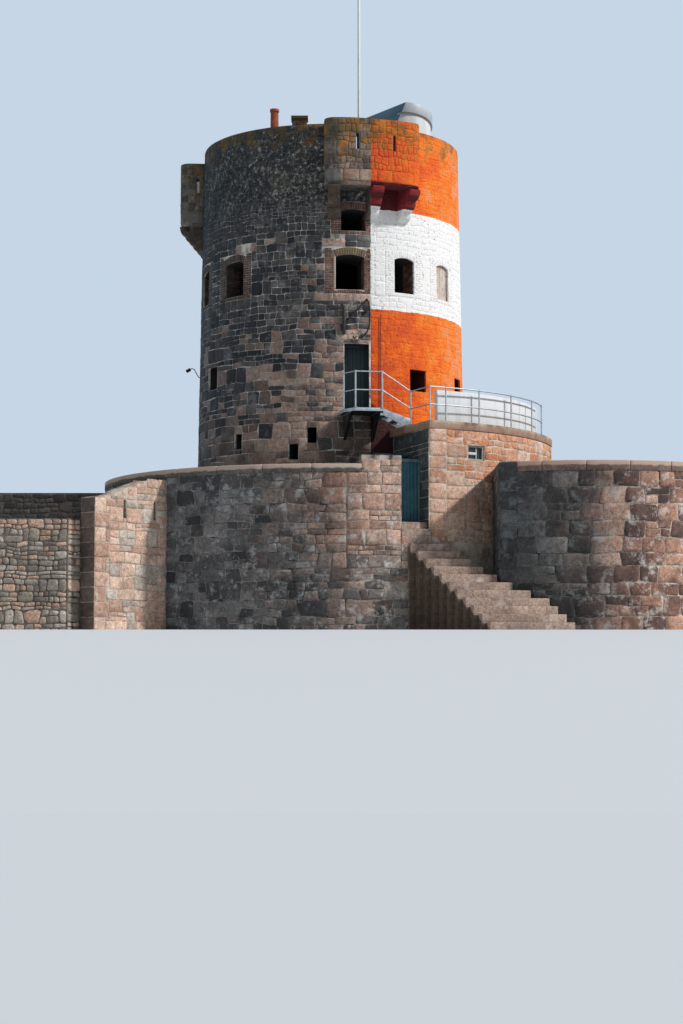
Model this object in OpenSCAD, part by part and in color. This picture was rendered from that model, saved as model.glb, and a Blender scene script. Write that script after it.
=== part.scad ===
/* [Tower] */
// Radius of the tower at its foot
tower_base_r = 4540; // [4350:10:4600]
// Radius of the tower at its rim
tower_rim_r = 4265; // [4150:5:4300]
// Height of the rim above the foot
rim_z = 16240; // [16000:20:16500]
// Level of the battery yard and of the ground storey
yard_z = 3340; // [3200:20:3400]
// Level of the first floor, where the tower is entered
first_floor_z = 6970; // [6940:10:7020]
// Level of the second floor
second_floor_z = 9900; // [9700:50:10100]
// Level of the fighting platform behind the parapet
platform_z = 14400; // [14350:10:14450]
// Thickness of each stone floor
floor_t = 300; // [200:20:320]
// Radius of the ground storey room
ground_room_r = 2450; // [2300:10:2500]
// Radius of the first floor room
first_room_r = 2600; // [2550:10:2650]
// Radius of the second floor room
second_room_r = 2750; // [2700:10:2800]
// Radius inside the parapet
parapet_room_r = 3400; // [3380:10:3460]

/* [Tower openings] */
// Bearing of the entrance door, in degrees from the front towards the right
door_a = 10.6; // [8:0.1:12]
// Width of the doorway
door_w = 800; // [720:10:900]
// Height of the doorway
door_h = 2190; // [2000:10:2250]
// Depth from the tower face to the door leaf
door_recess = 380; // [250:10:450]
// Thickness of the door leaf
door_t = 70; // [50:5:90]
// Level of the second floor window sills
window_z = 10880; // [10750:10:10950]
// Height of the second floor windows at the crown of the arch
window_h = 1150; // [1000:10:1250]
// Rise of the brick window arches
window_rise = 90; // [60:10:140]
// Width of the loopholes of the ground storey
loop_w = 300; // [200:10:360]
// Height of the loopholes of the ground storey
loop_h = 500; // [380:10:540]

/* [Machicolations] */
// Bearing of the front machicolation
mach_a = 16.3; // [14:0.1:18]
// Half of the angle that one machicolation covers
mach_half = 19; // [17.5:0.5:20]
// Radius of the outer face
mach_r = 5080; // [5000:10:5150]
// Thickness of the front wall
mach_wall = 450; // [380:10:500]
// Radius of the rounded upright corners
mach_corner = 350; // [200:10:400]
// Level of the underside, on top of the corbels
mach_z = 14100; // [14050:10:14150]
// Chamfer along the lower front edge
mach_chamfer = 120; // [60:10:160]
// Width of the musket slits
slit_w = 100; // [80:5:130]
// Height of the musket slits
slit_h = 500; // [400:10:560]
// Width of one corbel
corbel_w = 380; // [300:10:420]
// Height of one corbel course
corbel_h = 320; // [280:5:330]
// Reach of the top corbel course past the tower face
corbel_reach = 800; // [760:10:820]
// Angle from the middle of a machicolation to its outer corbels
corbel_step = 15.3; // [14:0.1:15.5]

/* [Battery] */
// Radius of the outer face of the battery wall
ring_r = 7500; // [7450:10:7600]
// Thickness of the battery wall
ring_t = 800; // [700:10:850]
// Level of the top of the battery coping
ring_top_z = 5040; // [4950:10:5100]
// Height of the coping stones
coping_h = 250; // [200:10:300]
// Overhang of the coping stones
coping_lip = 30; // [10:5:50]
// Length of one coping stone
coping_len = 1500; // [1200:50:1800]
// Joint between coping stones
coping_joint = 12; // [8:1:20]

/* [Gate] */
// Bearing of the middle of the gateway
gate_a = 20; // [19:0.5:21]
// Width of the gateway between its side walls
gate_way_w = 960; // [920:10:1000]
// Width of each gate post
post_w = 60; // [50:5:70]
// Depth of each gate post
post_d = 90; // [70:5:110]
// Height of the gate leaf
gate_h = 1850; // [1700:10:1900]
// Thickness of the gate leaf
gate_t = 60; // [40:5:70]
// Distance from the battery wall's outer face back to the gate leaf
gate_back = 900; // [860:10:940]
// Gap round the gate leaf
gate_gap = 6; // [5:1:10]
// Radius of the hinge pins
pin_r = 8; // [6:1:10]
// Wall of the hinge eyes
eye_wall = 11; // [8:1:12]
// Height of the hinge eyes
eye_h = 60; // [40:5:80]

/* [Guardhouse] */
// Bearing at which the guardhouse ends
guard_end_a = 80; // [78:1:82]
// Distance from the battery wall's outer face back to its front wall
guard_back = 150; // [100:10:200]
// Thickness of its walls
guard_t = 600; // [500:10:620]
// Level of its terrace roof
terrace_z = 6450; // [6400:10:6500]
// Thickness of the terrace roof
terrace_t = 250; // [200:10:300]
// Distance from its front wall's face back to the terrace rail
rail_back = 250; // [200:10:300]
// Height of the terrace handrail
rail_h = 1080; // [950:10:1150]
// Diameter of the rail posts
rail_post_d = 50; // [44:1:60]
// Diameter of the rail tubes between the posts
rail_d = 42; // [36:1:43]

/* [Landing] */
// Width of the steel landing
deck_w = 1150; // [1040:10:1200]
// Depth of the steel landing
deck_d = 1250; // [1150:10:1300]
// Thickness of the landing deck
deck_t = 100; // [80:5:120]
// Height of the landing's handrail
landing_rail_h = 1150; // [1080:10:1200]

/* [Bastion] */
// Distance of the gun platform's centre to the right of the battery wall's outer face
bastion_out = 300; // [200:50:400]
// Distance of the gun platform's centre in front of the tower axis
bastion_y = 2400; // [2300:50:2500]
// Radius of the gun platform
bastion_r = 6200; // [6100:10:6300]
// Thickness of its wall
bastion_t = 900; // [800:10:1000]
// Height of its coping stones
bastion_coping_h = 300; // [250:10:350]

/* [Steps] */
// Level of the landing in front of the gate
landing_z = 2900; // [2850:10:2950]
// Number of stone treads below that landing
tread_count = 11; // [10:1:12]
// Depth of one tread
tread_d = 320; // [300:5:340]
// Width of the flight
flight_w = 2600; // [2400:20:2700]

/* [Outworks] */
// Thickness of the wing wall
wing_t = 660; // [600:10:700]
// Height of the wing wall at its corner
wing_z = 4060; // [3900:20:4200]
// Height of the wing wall where it meets the battery
wing_top_z = 4740; // [4500:20:4780]
// Height of the low rubble wall
rubble_z = 3400; // [3200:20:3500]
// Height of the far wall
far_z = 4600; // [4500:20:4700]

/* [Roof] */
// Height of the top of the flagpole
pole_z = 22500; // [21500:100:23500]
// Diameter of the flagpole
pole_d = 90; // [70:5:110]
// Radius of the stair-head drum
drum_r = 960; // [920:10:970]
// Level of the highest point of its roof
drum_z = 17910; // [17700:10:18100]

/* [Hidden] */
$fn = 720;
seat = 0.3;
big = 30000;
storey_1_z = first_floor_z - floor_t;
storey_2_z = second_floor_z - floor_t;
head_z = mach_z;

// Angle that each end wall of a machicolation takes, and the bearings of its two front slits
end_wall_a = 6.5;
slit_a = 6.9;
slit_z = rim_z - 1000;
// The left machicolation hangs and ends this much lower than the other two
mach_drops = [0, 0, 350];
// The middle corbel stands this far beside the middle, in degrees
corbel_shift = 0.8;
// Width of each hole in its floor, through which defenders threw down
murder_w = 700;
// Posts end this far above the handrail, so that the tube passes through them
post_cap = 6;
// Angle left open where two lengths of round wall meet
joint_a = 0.004;

mach_bearings = [mach_a, mach_a + 120, mach_a + 240];

// Bearing, width, sill level and height of each opening of the first storey
first_windows = [[39.2, 680, 7750, 700], [71, 700, 7820, 620], [-61.5, 640, 7980, 740],
                 [135, 600, 7800, 640], [-150, 600, 7800, 640]];
// Bearing and width of each window of the second storey
second_windows_front = [[7.8, 930], [32.6, 760], [56.6, 750], [-46.3, 880], [-73, 800]];
second_windows_back = [[107, 800], [158, 800], [183, 800], [-125, 800]];
// Bearing and sill level of each loophole of the ground storey
ground_loops = [[-7.9, 6000], [-15.5, 5480], [-42, 5900], [150, 6000], [-150, 6000]];
// Openings under the machicolations: bearing beside the machicolation's, sill, width, height, rise
under_a = -6.9;
under_z = 12780;
under_w = 800;
under_h = 710;
under_rise = 60;

// Openings through the tower wall are cut from inside the rooms to outside the foot
cut_in = ground_room_r - 450;
cut_out = tower_base_r + 460;
// Walls and roofs that lean on the tower begin inside it, and are cut along its face
root_r = tower_rim_r - 1265;

ring_in_r = ring_r - ring_t;
ring_wall_z = ring_top_z - coping_h;
guard_r = ring_r - guard_back;
guard_in_r = guard_r - guard_t;
rail_r = guard_r - rail_back;
guard_wall_z = terrace_z - terrace_t - seat;
// The terrace reaches over the gateway up to this plane, nearer to the tower than this distance,
// where the steel flight comes down
stair_land_x = 340;
stair_land_y = ring_in_r - 550;
guard_pier_y = guard_r - 30;
// Bearing at which the raised pier left of the gate begins
pier_a = gate_a - 13;
gate_r = ring_r - gate_back;
// How far right of the tower axis the gateway is; the steps and the gun platform keep their place to it
gate_x = ring_r*sin(gate_a);
leaf_w = gate_way_w - 2*post_w - 2*gate_gap;
leaf_z = yard_z + 15;
leaf_top_z = leaf_z + gate_h;
pin_x = leaf_w/2 + gate_gap/2;
pin_y = -gate_r + gate_t + 2*eye_wall + pin_r + 10;

// Radius of the tower face at a level
function tower_r(z) = tower_base_r + (tower_rim_r - tower_base_r)*z/rim_z;

// Turns a piece so that its own front looks along a bearing
module facing(a) rotate([0, 0, a]) children();

// Sector of a turned solid between two bearings
module turned(a0, a1) rotate([0, 0, a0 - 90]) rotate_extrude(angle = a1 - a0) children();

module ring_sector(r_in, r_out, z0, z1, a0, a1)
    turned(a0, a1) translate([r_in, z0]) square([r_out - r_in, z1 - z0]);

// Piece of the battered tower wall between two bearings
module tower_sector(r_in, z0, z1, a0, a1) {
    top = z1 - seat;
    turned(a0 + joint_a, a1) polygon([[r_in, z0], [tower_r(z0), z0], [tower_r(top), top], [r_in, top]]);
}

// The whole tower as a solid, with room to spare, to cut what leans on it
module tower_mass(gap)
    rotate_extrude() polygon([[0, -1], [tower_r(0) + gap, -1],
                              [tower_r(rim_z) + gap, rim_z], [0, rim_z]]);

// Opening outline with a flat or a segmental head
module opening_outline(w, h, rise) {
    arch_r = rise > 0 ? (w*w/4 + rise*rise)/(2*rise) : w;
    translate([-w/2, 0]) square([w, h - rise]);
    if (rise > 0)
        intersection() {
            translate([-w/2, 0]) square([w, h]);
            translate([0, h - arch_r]) circle(r = arch_r);
        }
}

// Straight cut through a wall along a bearing
module through_cut(a, z, w, h, rise, y_in, y_out)
    facing(a) translate([0, -y_in, z]) rotate([90, 0, 0])
        linear_extrude(y_out - y_in) opening_outline(w, h, rise);

// Slab between two upright planes beside a bearing
module side_slab(a, x0, x1, y0, y1, z0, z1)
    facing(a) translate([x0, -y1, z0]) cube([x1 - x0, y1 - y0, z1 - z0]);

// The round battery wall and guardhouse as solids, to cut what leans on them
module battery_mass() {
    ring_sector(0, ring_r + seat, -1, ring_wall_z - seat, guard_end_a - 360, gate_a);
    ring_sector(0, ring_r + coping_lip + seat, ring_wall_z - seat, rim_z, guard_end_a - 360, gate_a);
    ring_sector(0, guard_r + seat, -1, rim_z, gate_a - 1, guard_end_a + 1);
    side_slab(gate_a, gate_way_w/2 - seat, gate_way_w/2 + guard_t + seat, 0, guard_pier_y + seat, -1, rim_z);
}

// Half space to one side of an upright plane beside a bearing
module beyond(a, x0, side)
    facing(a) translate([side > 0 ? x0 : x0 - big, -big/2, -big/2]) cube(big);

module tower_base() color("#8d7a6c")
    rotate_extrude() polygon([[0, 0], [tower_r(0), 0], [tower_r(yard_z - seat), yard_z - seat],
                              [0, yard_z - seat]]);

module ground_wall(a0, a1) color("#8d7a6c")
    difference() {
        tower_sector(ground_room_r, yard_z, storey_1_z, a0, a1);
        for (loop = ground_loops)
            through_cut(loop[0], loop[1], loop_w, loop_h, 0, cut_in, cut_out);
    }

module first_wall(a0, a1)
    difference() {
        tower_sector(first_room_r, storey_1_z, storey_2_z, a0, a1);
        for (win = first_windows)
            through_cut(win[0], win[2], win[1], win[3], 0, cut_in, cut_out);
    }

// This length of wall also runs under the door, as its threshold
module first_wall_left_of_door() color("#8f8078")
    difference() {
        first_wall(-90, door_a + 12);
        beyond(door_a, door_w/2 - seat, 1);
        side_slab(door_a, -door_w/2, big, 0, big, first_floor_z, rim_z);
    }

module first_wall_right_of_door() color("#d9582b")
    difference() {
        first_wall(door_a, 90);
        beyond(door_a, door_w/2, -1);
    }

module first_wall_over_door() color("#8f8078")
    intersection() {
        tower_sector(first_room_r, first_floor_z + door_h, storey_2_z, door_a - 30, door_a + 30);
        side_slab(door_a, seat - door_w/2, door_w/2 - seat, 0, cut_out, 0, rim_z);
    }

module first_wall_back() color("#8f8078") first_wall(90, 270);

module second_wall(a0, a1, windows)
    difference() {
        tower_sector(second_room_r, storey_2_z, head_z, a0, a1);
        for (win = windows)
            through_cut(win[0], window_z, win[1], window_h, window_rise, cut_in, cut_out);
        for (a = mach_bearings)
            through_cut(a + under_a, under_z, under_w, under_h, under_rise, cut_in, cut_out);
    }

module parapet(k) color("#8b8682")
    tower_sector(parapet_room_r, head_z, rim_z,
                 mach_bearings[k] + mach_half, mach_bearings[k] + 120 - mach_half - joint_a);

// Pie-shaped outline that points to the front
module pie(r, half)
    intersection() {
        circle(r = r);
        polygon([[0, 0], [-2*r*sin(half), -2*r*cos(half)], [2*r*sin(half), -2*r*cos(half)]]);
    }

// Plan of a machicolation, with rounded upright corners that stand 1 mm inside the two faces
module machicolation_plan() {
    corner_r = mach_r - mach_corner;
    turn = asin(mach_corner/corner_r);
    pie(corner_r*cos(turn), mach_half);
    pie(mach_r, mach_half - turn);
    for (side = [-1, 1])
        rotate(side*(mach_half - turn)) translate([0, -corner_r]) circle(r = mach_corner - 1);
}

module machicolation(k) color("#a0653f")
    facing(mach_bearings[k]) translate([0, 0, -mach_drops[k]]) difference() {
        intersection() {
            translate([0, 0, mach_z]) linear_extrude(rim_z - mach_z) machicolation_plan();
            rotate_extrude() polygon([[0, mach_z], [mach_r - mach_chamfer, mach_z],
                                      [mach_r + 50, mach_z + mach_chamfer + 50],
                                      [mach_r + 50, rim_z], [0, rim_z]]);
        }
        translate([0, 0, mach_z - 1]) cylinder(r = parapet_room_r, h = rim_z);
        translate([0, 0, platform_z + mach_drops[k]]) linear_extrude(rim_z)
            pie(mach_r - mach_wall, mach_half - end_wall_a);
        if (mach_drops[k] > 0)
            translate([0, 0, mach_z - 1]) cylinder(r = tower_r(mach_z - mach_drops[k]) + seat,
                                                   h = mach_drops[k] + 1);
        for (side = [-1, 1]) {
            rotate([0, 0, side*corbel_step/2])
                translate([-murder_w/2, -(mach_r - mach_wall), mach_z - 1])
                    cube([murder_w, mach_r - mach_wall - tower_r(mach_z) - 40, 1500]);
            rotate([0, 0, side*slit_a]) translate([-slit_w/2, -mach_r - 100, slit_z])
                cube([slit_w, mach_wall + 300, slit_h]);
            rotate([0, 0, side*(mach_half - 3)])
                translate([-500, -mach_r + mach_wall + 80, slit_z])
                    cube([1000, slit_w, slit_h]);
        }
    }

// Side view of one corbel: three courses, each with a rounded nose
module corbel_profile()
    for (course = [0:2]) {
        out = tower_r(mach_z) + corbel_reach*(3 - course)/3;
        top = mach_z - seat - course*corbel_h;
        back_r = tower_rim_r - 200;
        translate([back_r, top - corbel_h]) square([out - corbel_h - back_r, corbel_h]);
        intersection() {
            translate([out - corbel_h, top]) circle(r = corbel_h);
            translate([out - corbel_h, top - corbel_h]) square(corbel_h);
        }
    }

module corbels(k) color("#7a5a4a")
    difference() {
        for (step = [-corbel_step, corbel_shift, corbel_step])
            facing(mach_bearings[k] + step) translate([0, 0, -mach_drops[k]])
                rotate([0, 0, -90]) rotate([90, 0, 0])
                    linear_extrude(corbel_w, center = true) corbel_profile();
        tower_mass(seat);
    }

module disc_floor(r, z) color("#9a948c")
    translate([0, 0, z - floor_t]) cylinder(r = r - seat, h = floor_t);

module roof_platform() color("#9a948c")
    translate([0, 0, head_z]) cylinder(r = parapet_room_r - seat, h = platform_z - head_z);

module tower_door() color("#2f4a4a")
    side_slab(door_a, seat - door_w/2, door_w/2 - seat, tower_r(first_floor_z) - door_recess - door_t,
              tower_r(first_floor_z) - door_recess, first_floor_z + seat, first_floor_z + door_h - seat);

module window_infill() color("#d8cdbb")
    facing(second_windows_front[2][0]) translate([0, -tower_r(window_z) + 350, window_z + seat])
        rotate([90, 0, 0]) linear_extrude(250)
            opening_outline(second_windows_front[2][1] - 2*seat, window_h - 2*seat, window_rise);

// Centre of the drum, to the right of the tower axis and behind it
drum_x = 2420;
drum_y = 300;
// Slope of the drum's roof, bearing of its glazing and how far the glazing leans back
roof_tilt = 15.5;
glazing_a = -39.6;
glazing_lean = 14.1;
hood_wall = 90;
// Height of the roof's edge and of the shadow gap under it
fascia_h = 335;
slot_h = 60;
glazing_t = 30;

module hood_plan(grow) {
    translate([drum_x, drum_y]) circle(r = drum_r + grow);
    translate([drum_x - 1250 - grow, drum_y - 400]) square([1250 + grow, 400 + drum_r + grow]);
}

// Turns a piece to lie along the sloping roof plane, lowered by drop
module on_roof_plane(drop)
    translate([drum_x, drum_y - drum_r, drum_z - drop]) rotate([-roof_tilt, 0, 0]) children();

module above_roof(drop)
    on_roof_plane(drop) translate([-big/2, -big/2, 0]) cube(big);

module below_roof(drop)
    on_roof_plane(drop) translate([-big/2, -big/2, -big]) cube(big);

// Everything in front of the glazing plane, moved in by depth
module before_glazing(depth)
    translate([drum_x, drum_y - drum_r, drum_z]) rotate([0, 0, glazing_a])
        rotate([-glazing_lean, 0, 0]) translate([-big/2, depth - big, -big/2]) cube(big);

// Slice of the hood between two sloping planes
module hood_slice(grow, drop_top, drop_foot)
    difference() {
        translate([0, 0, platform_z]) linear_extrude(drum_z - platform_z + 500) hood_plan(grow);
        above_roof(drop_top);
        below_roof(drop_foot);
    }

module stair_head_walls() color("#e4e4e2")
    difference() {
        translate([0, 0, platform_z + seat]) linear_extrude(drum_z - platform_z) hood_plan(0);
        translate([0, 0, platform_z - 1]) linear_extrude(drum_z) hood_plan(-hood_wall);
        above_roof(fascia_h + slot_h + seat);
        before_glazing(glazing_t + 10);
    }

module stair_head_roof() color("#d5d6d8")
    difference() {
        union() {
            hood_slice(60, 0, fascia_h);
            hood_slice(-20, fascia_h, fascia_h + slot_h);
        }
        before_glazing(0);
    }

module stair_head_glazing() color("#2b5d7d")
    difference() {
        intersection() {
            translate([0, 0, platform_z + seat]) linear_extrude(drum_z - platform_z) hood_plan(0);
            before_glazing(glazing_t + 10 - seat);
        }
        before_glazing(10);
        above_roof(fascia_h + slot_h + seat);
    }

module flagpole() color("#f2f2f0") {
    translate([920, -1000, platform_z + seat]) {
        cylinder(d = pole_d, h = pole_z - platform_z);
        cylinder(d = 260, h = 60);
        translate([0, 0, pole_z - platform_z]) sphere(d = pole_d*1.6, $fn = 48);
    }
}

module chimney_pot() color("#b5502f")
    translate([-1840, -3200, rim_z]) difference() {
        union() {
            cylinder(d1 = 270, d2 = 250, h = 700);
            translate([0, 0, 650]) cylinder(d = 300, h = 100);
            cylinder(d = 360, h = 80);
        }
        translate([0, 0, 80]) cylinder(d = 190, h = 800);
    }

module chimney_stub() color("#6b625a")
    translate([-1020, -3600, rim_z]) {
        translate([-230, -230, 0]) cube([460, 460, 290]);
        translate([-270, -270, 280]) cube([540, 540, 90]);
    }

deck_z = first_floor_z;
// Distance of the deck's inner edge from the tower axis
deck_y = tower_r(deck_z) + 5;
// The landing's left front corner is cut off by this much
deck_cut = 520;

module landing_deck() color("#b9bdbf")
    difference() {
        union() {
            facing(door_a) translate([0, 0, deck_z - deck_t]) linear_extrude(deck_t)
                polygon([[-deck_w/2, 250 - deck_y], [-deck_w/2, -deck_y - deck_d + deck_cut],
                         [-deck_w/2 + deck_cut/2, -deck_y - deck_d], [deck_w/2, -deck_y - deck_d],
                         [deck_w/2, 250 - deck_y]]);
            for (x = [-deck_w/2 + 140, deck_w/2 - 120])
                facing(door_a) translate([x, 0, 0]) rotate([0, 0, -90]) rotate([90, 0, 0])
                    translate([0, 0, -80]) linear_extrude(80)
                        polygon([[deck_y - 200, deck_z - deck_t], [deck_y + deck_d - 150, deck_z - deck_t],
                                 [deck_y + deck_d - 300, deck_z - deck_t - 80], [deck_y - 20, deck_z - 900],
                                 [deck_y - 20, deck_z - 1020], [deck_y - 200, deck_z - 1020]]);
        }
        tower_mass(seat);
    }

// Where the stair's foot post stands, seen from the landing's bearing
foot_x = 1450;
// Steps of the steel flight, and where it lies along the landing's side
stair_going = 270;
stair_rise = (deck_z - terrace_z)/3;
stair_y0 = deck_y + 450;
stair_y1 = deck_y + deck_d;
stringer_t = 30;
stringer_run = foot_x - deck_w/2 - rail_post_d/2 - 2*seat;

// Steel flight from the landing down to the terrace: two strings and two treads
module landing_stair() color("#b9bdbf")
    facing(door_a) translate([deck_w/2 + seat, 0, 0]) {
        for (y = [stair_y0, stair_y1 - stringer_t])
            translate([0, -y, 0]) rotate([90, 0, 0]) linear_extrude(stringer_t)
                polygon([[0, deck_z - 20], [0, deck_z - 230], [600, terrace_z + seat],
                         [stringer_run, terrace_z + seat], [stringer_run, terrace_z + 200]]);
        for (k = [1:2])
            translate([(k - 1)*stair_going + 60, -stair_y1, deck_z - k*stair_rise - 40])
                cube([stair_going, stair_y1 - stair_y0, 40]);
    }

module rail_post(a, x, y, z0, z1)
    facing(a) translate([x, -y, z0]) cylinder(d = rail_post_d, h = z1 - z0);

// Straight tube between two points
module tube(p, q, d = rail_d) {
    run = q - p;
    len = norm(run);
    translate(p) rotate([0, acos(run[2]/len), atan2(run[1], run[0])])
        cylinder(d = d, h = len);
}

rail_y_out = deck_y + deck_d - rail_post_d/2;
rail_x_out = deck_w/2 - rail_post_d/2;

module landing_rail() color("#c3c8ca") {
    corner = [-deck_w/2 + deck_cut/2 + 20, rail_y_out];
    back = [-deck_w/2 + rail_post_d/2, deck_y + deck_d - deck_cut - 100];
    facing(door_a) {
        for (p = [back, corner, [rail_x_out, rail_y_out]])
            translate([p[0], -p[1], deck_z + seat])
                cylinder(d = rail_post_d, h = landing_rail_h + post_cap - seat);
        translate([foot_x, -rail_y_out, terrace_z + seat])
            cylinder(d = rail_post_d, h = rail_h + post_cap - seat);
        for (part = [1, 1/2]) {
            z = deck_z + landing_rail_h*part - rail_d/2;
            foot_z = terrace_z + rail_h*part - rail_d/2;
            tube([corner[0], -corner[1], z], [rail_x_out, -rail_y_out, z]);
            tube([back[0], -back[1], z], [corner[0], -corner[1], z], rail_d - 2);
            tube([rail_x_out, -rail_y_out, z], [foot_x, -rail_y_out, foot_z], rail_d - 4);
        }
    }
}

// Bearings of the terrace rail's posts
post_bearings = [25.1, 29.6, 40.2, 53, 65.2, 75.5];

// Turns a point given beside a bearing into one beside the front
function beside(a, x, y) = [x*cos(a) + y*sin(a), x*sin(a) - y*cos(a)];

module terrace_rail() color("#c3c8ca") {
    first = post_bearings[0];
    last = post_bearings[len(post_bearings) - 1];
    start = beside(first, 0, rail_r);
    foot = beside(door_a, foot_x, rail_y_out);
    gap = (foot - start)/norm(foot - start)*(rail_post_d/2 + seat);
    for (a = post_bearings)
        rail_post(a, 0, rail_r, terrace_z + seat, terrace_z + rail_h + post_cap);
    for (h = [rail_h, rail_h/2]) {
        z = terrace_z + h - rail_d/2;
        turned(first, last) translate([rail_r, z]) circle(d = rail_d);
        tube([start[0], start[1], z], [foot[0] - gap[0], foot[1] - gap[1], z], rail_d - 2);
    }
}

module terrace_parapet() color("#e9e9ea")
    ring_sector(rail_r - 350, rail_r - 200, terrace_z + seat, terrace_z + 1000, 28, guard_end_a - 2);

// Bearing, sill, width and height of the guardhouse window
guard_window = [37.3, terrace_z - 1150, 680, 450];
module guardhouse_front_wall() color("#c99a72")
    difference() {
        ring_sector(guard_in_r, guard_r, 0, guard_wall_z, gate_a, guard_end_a);
        beyond(gate_a, gate_way_w/2 + guard_t + seat, -1);
        through_cut(guard_window[0], guard_window[1], guard_window[2], guard_window[3], 0,
                    guard_in_r - 300, guard_r + 300);
    }

module guardhouse_side_wall() color("#c99a72")
    difference() {
        side_slab(gate_a, gate_way_w/2, gate_way_w/2 + guard_t, root_r, guard_pier_y, 0, guard_wall_z);
        tower_mass(seat);
    }

module guardhouse_end_wall() color("#c99a72")
    difference() {
        intersection() {
            side_slab(guard_end_a, -guard_t, 0, root_r, guard_in_r, yard_z + seat, guard_wall_z);
            cylinder(r = guard_in_r - seat, h = rim_z);
        }
        tower_mass(seat);
    }

module guardhouse_roof() color("#c9c2b6")
    difference() {
        ring_sector(root_r, guard_r + coping_lip, terrace_z - terrace_t, terrace_z, gate_a, guard_end_a);
        beyond(gate_a, stair_land_x, -1);
        side_slab(gate_a, 0, gate_way_w/2, stair_land_y, big, 0, rim_z);
        tower_mass(seat);
    }

hinge_zs = [leaf_z + 300, leaf_top_z - 300];
module gate_leaf() color("#2f6468")
    facing(gate_a) {
        side_slab(0, -leaf_w/2, leaf_w/2, gate_r - gate_t, gate_r, leaf_z, leaf_top_z);
        for (z = hinge_zs)
            difference() {
                union() {
                    translate([pin_x, pin_y, z]) cylinder(r = pin_r + eye_wall, h = eye_h);
                    translate([leaf_w/2 - 500, -gate_r + gate_t, z]) cube([500 - gate_gap, 8, eye_h]);
                    translate([leaf_w/2 - 40, -gate_r + gate_t, z])
                        cube([40, pin_y + gate_r - gate_t, eye_h]);
                }
                translate([pin_x, pin_y, z - 1]) cylinder(r = pin_r + seat, h = eye_h + 2);
            }
    }

module gate_frame() color("#7f9aa0")
    facing(gate_a) {
        for (side = [-1, 1])
            side_slab(0, side > 0 ? gate_way_w/2 - post_w : seat - gate_way_w/2,
                      side > 0 ? gate_way_w/2 - seat : -gate_way_w/2 + post_w,
                      gate_r - post_d + 15, gate_r + 15, yard_z + seat, leaf_top_z + gate_gap);
        side_slab(0, seat - gate_way_w/2, gate_way_w/2 - seat, gate_r - post_d + 15, gate_r + 15,
                  leaf_top_z + gate_gap, leaf_top_z + gate_gap + 100);
        for (z = hinge_zs) {
            translate([pin_x, pin_y, z - 30]) cylinder(r = pin_r, h = eye_h + 40);
            translate([pin_x - 8, -gate_r + post_d - 15, z - 30 - seat])
                cube([50, pin_y + gate_r - post_d + 15 + pin_r, 30]);
        }
    }

module gate_pier() color("#a39486")
    difference() {
        ring_sector(ring_in_r, ring_r, 0, ring_top_z + 270, pier_a + joint_a, gate_a);
        beyond(gate_a, -gate_way_w/2, 1);
    }

// The two steps inside the gateway
gate_rise = (yard_z - landing_z)/2;
gate_tread_d = 320;
module gate_steps() color("#c9b29a")
    difference() {
        for (k = [0:1])
            side_slab(gate_a, seat - gate_way_w/2, gate_way_w/2 - seat, ring_in_r - 200,
                      ring_r - 20 - k*gate_tread_d - k*seat, 0, landing_z + (k + 1)*gate_rise);
        translate([0, 0, -1]) cylinder(r = ring_in_r, h = rim_z);
    }

// Distance from the gate leaf back to the canopy's edge, and room left between canopy and tower
canopy_back = 600;
canopy_room = 648;
canopy_d = gate_r - canopy_back - tower_r(leaf_top_z) - canopy_room;
module gate_canopy() color("#2f6468")
    facing(gate_a) translate([seat - gate_way_w/2, canopy_back - gate_r, leaf_top_z + 250])
        rotate([8, 0, 0]) cube([gate_way_w - 2*seat, canopy_d, 50]);

module ring_wall(a0, a1) color("#9a8f84")
    ring_sector(ring_in_r, ring_r, 0, ring_wall_z - seat, a0 + joint_a, a1);

ring_end_a = guard_end_a - 360;
stone_count = floor((pier_a - ring_end_a)*PI/180*ring_r/coping_len);
module ring_coping() color("#b7ab9c") {
    pitch = (pier_a - ring_end_a)/stone_count;
    joint = coping_joint/ring_r*180/PI;
    for (k = [0:stone_count - 1])
        ring_sector(ring_in_r - coping_lip, ring_r + coping_lip, ring_wall_z, ring_top_z,
                    ring_end_a + k*pitch + joint/2, ring_end_a + (k + 1)*pitch - joint/2);
}

module yard() color("#8f877c")
    difference() {
        rotate_extrude() polygon([[tower_r(0) + seat, 0], [ring_in_r - seat, 0],
                                  [ring_in_r - seat, yard_z], [tower_r(yard_z) + seat, yard_z]]);
        side_slab(gate_a, gate_way_w/2 - seat, gate_way_w/2 + guard_t + seat, root_r, big, -1,
                  yard_z + 1);
    }

bastion_x = ring_r + bastion_out;
module bastion_place() translate([bastion_x, -bastion_y, 0]) children();
// Left face of the gun platform's return wall, and its thickness
bastion_left_x = gate_x + 2435;
return_t = 500;
// Bearings between which the gun platform's round wall runs, seen from its own centre
bastion_a0 = asin((bastion_left_x - bastion_x)/bastion_r);
bastion_a1 = 190;
bastion_wall_z = ring_top_z - bastion_coping_h;

// Everything left of the inner face of the return wall
module left_of_return(x) translate([x - big, -big/2, -1]) cube(big);

module bastion_wall(a0, a1) color("#96705f")
    difference() {
        bastion_place()
            ring_sector(bastion_r - bastion_t, bastion_r, 0, bastion_wall_z - seat, a0 + joint_a, a1);
        battery_mass();
        left_of_return(bastion_left_x + return_t + seat);
    }

bastion_stones = 18;
module bastion_coping() color("#a98b7a")
    difference() {
        bastion_place()
            for (k = [0:bastion_stones - 1]) {
                pitch = (bastion_a1 - bastion_a0)/bastion_stones;
                joint = coping_joint/bastion_r*180/PI;
                ring_sector(bastion_r - bastion_t - coping_lip, bastion_r + coping_lip,
                            bastion_wall_z, ring_top_z,
                            bastion_a0 + k*pitch + joint/2, bastion_a0 + (k + 1)*pitch - joint/2);
            }
        translate([0, 0, -1]) cylinder(r = ring_r + coping_lip + seat, h = rim_z);
        left_of_return(bastion_left_x + return_t + coping_joint);
    }

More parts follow.
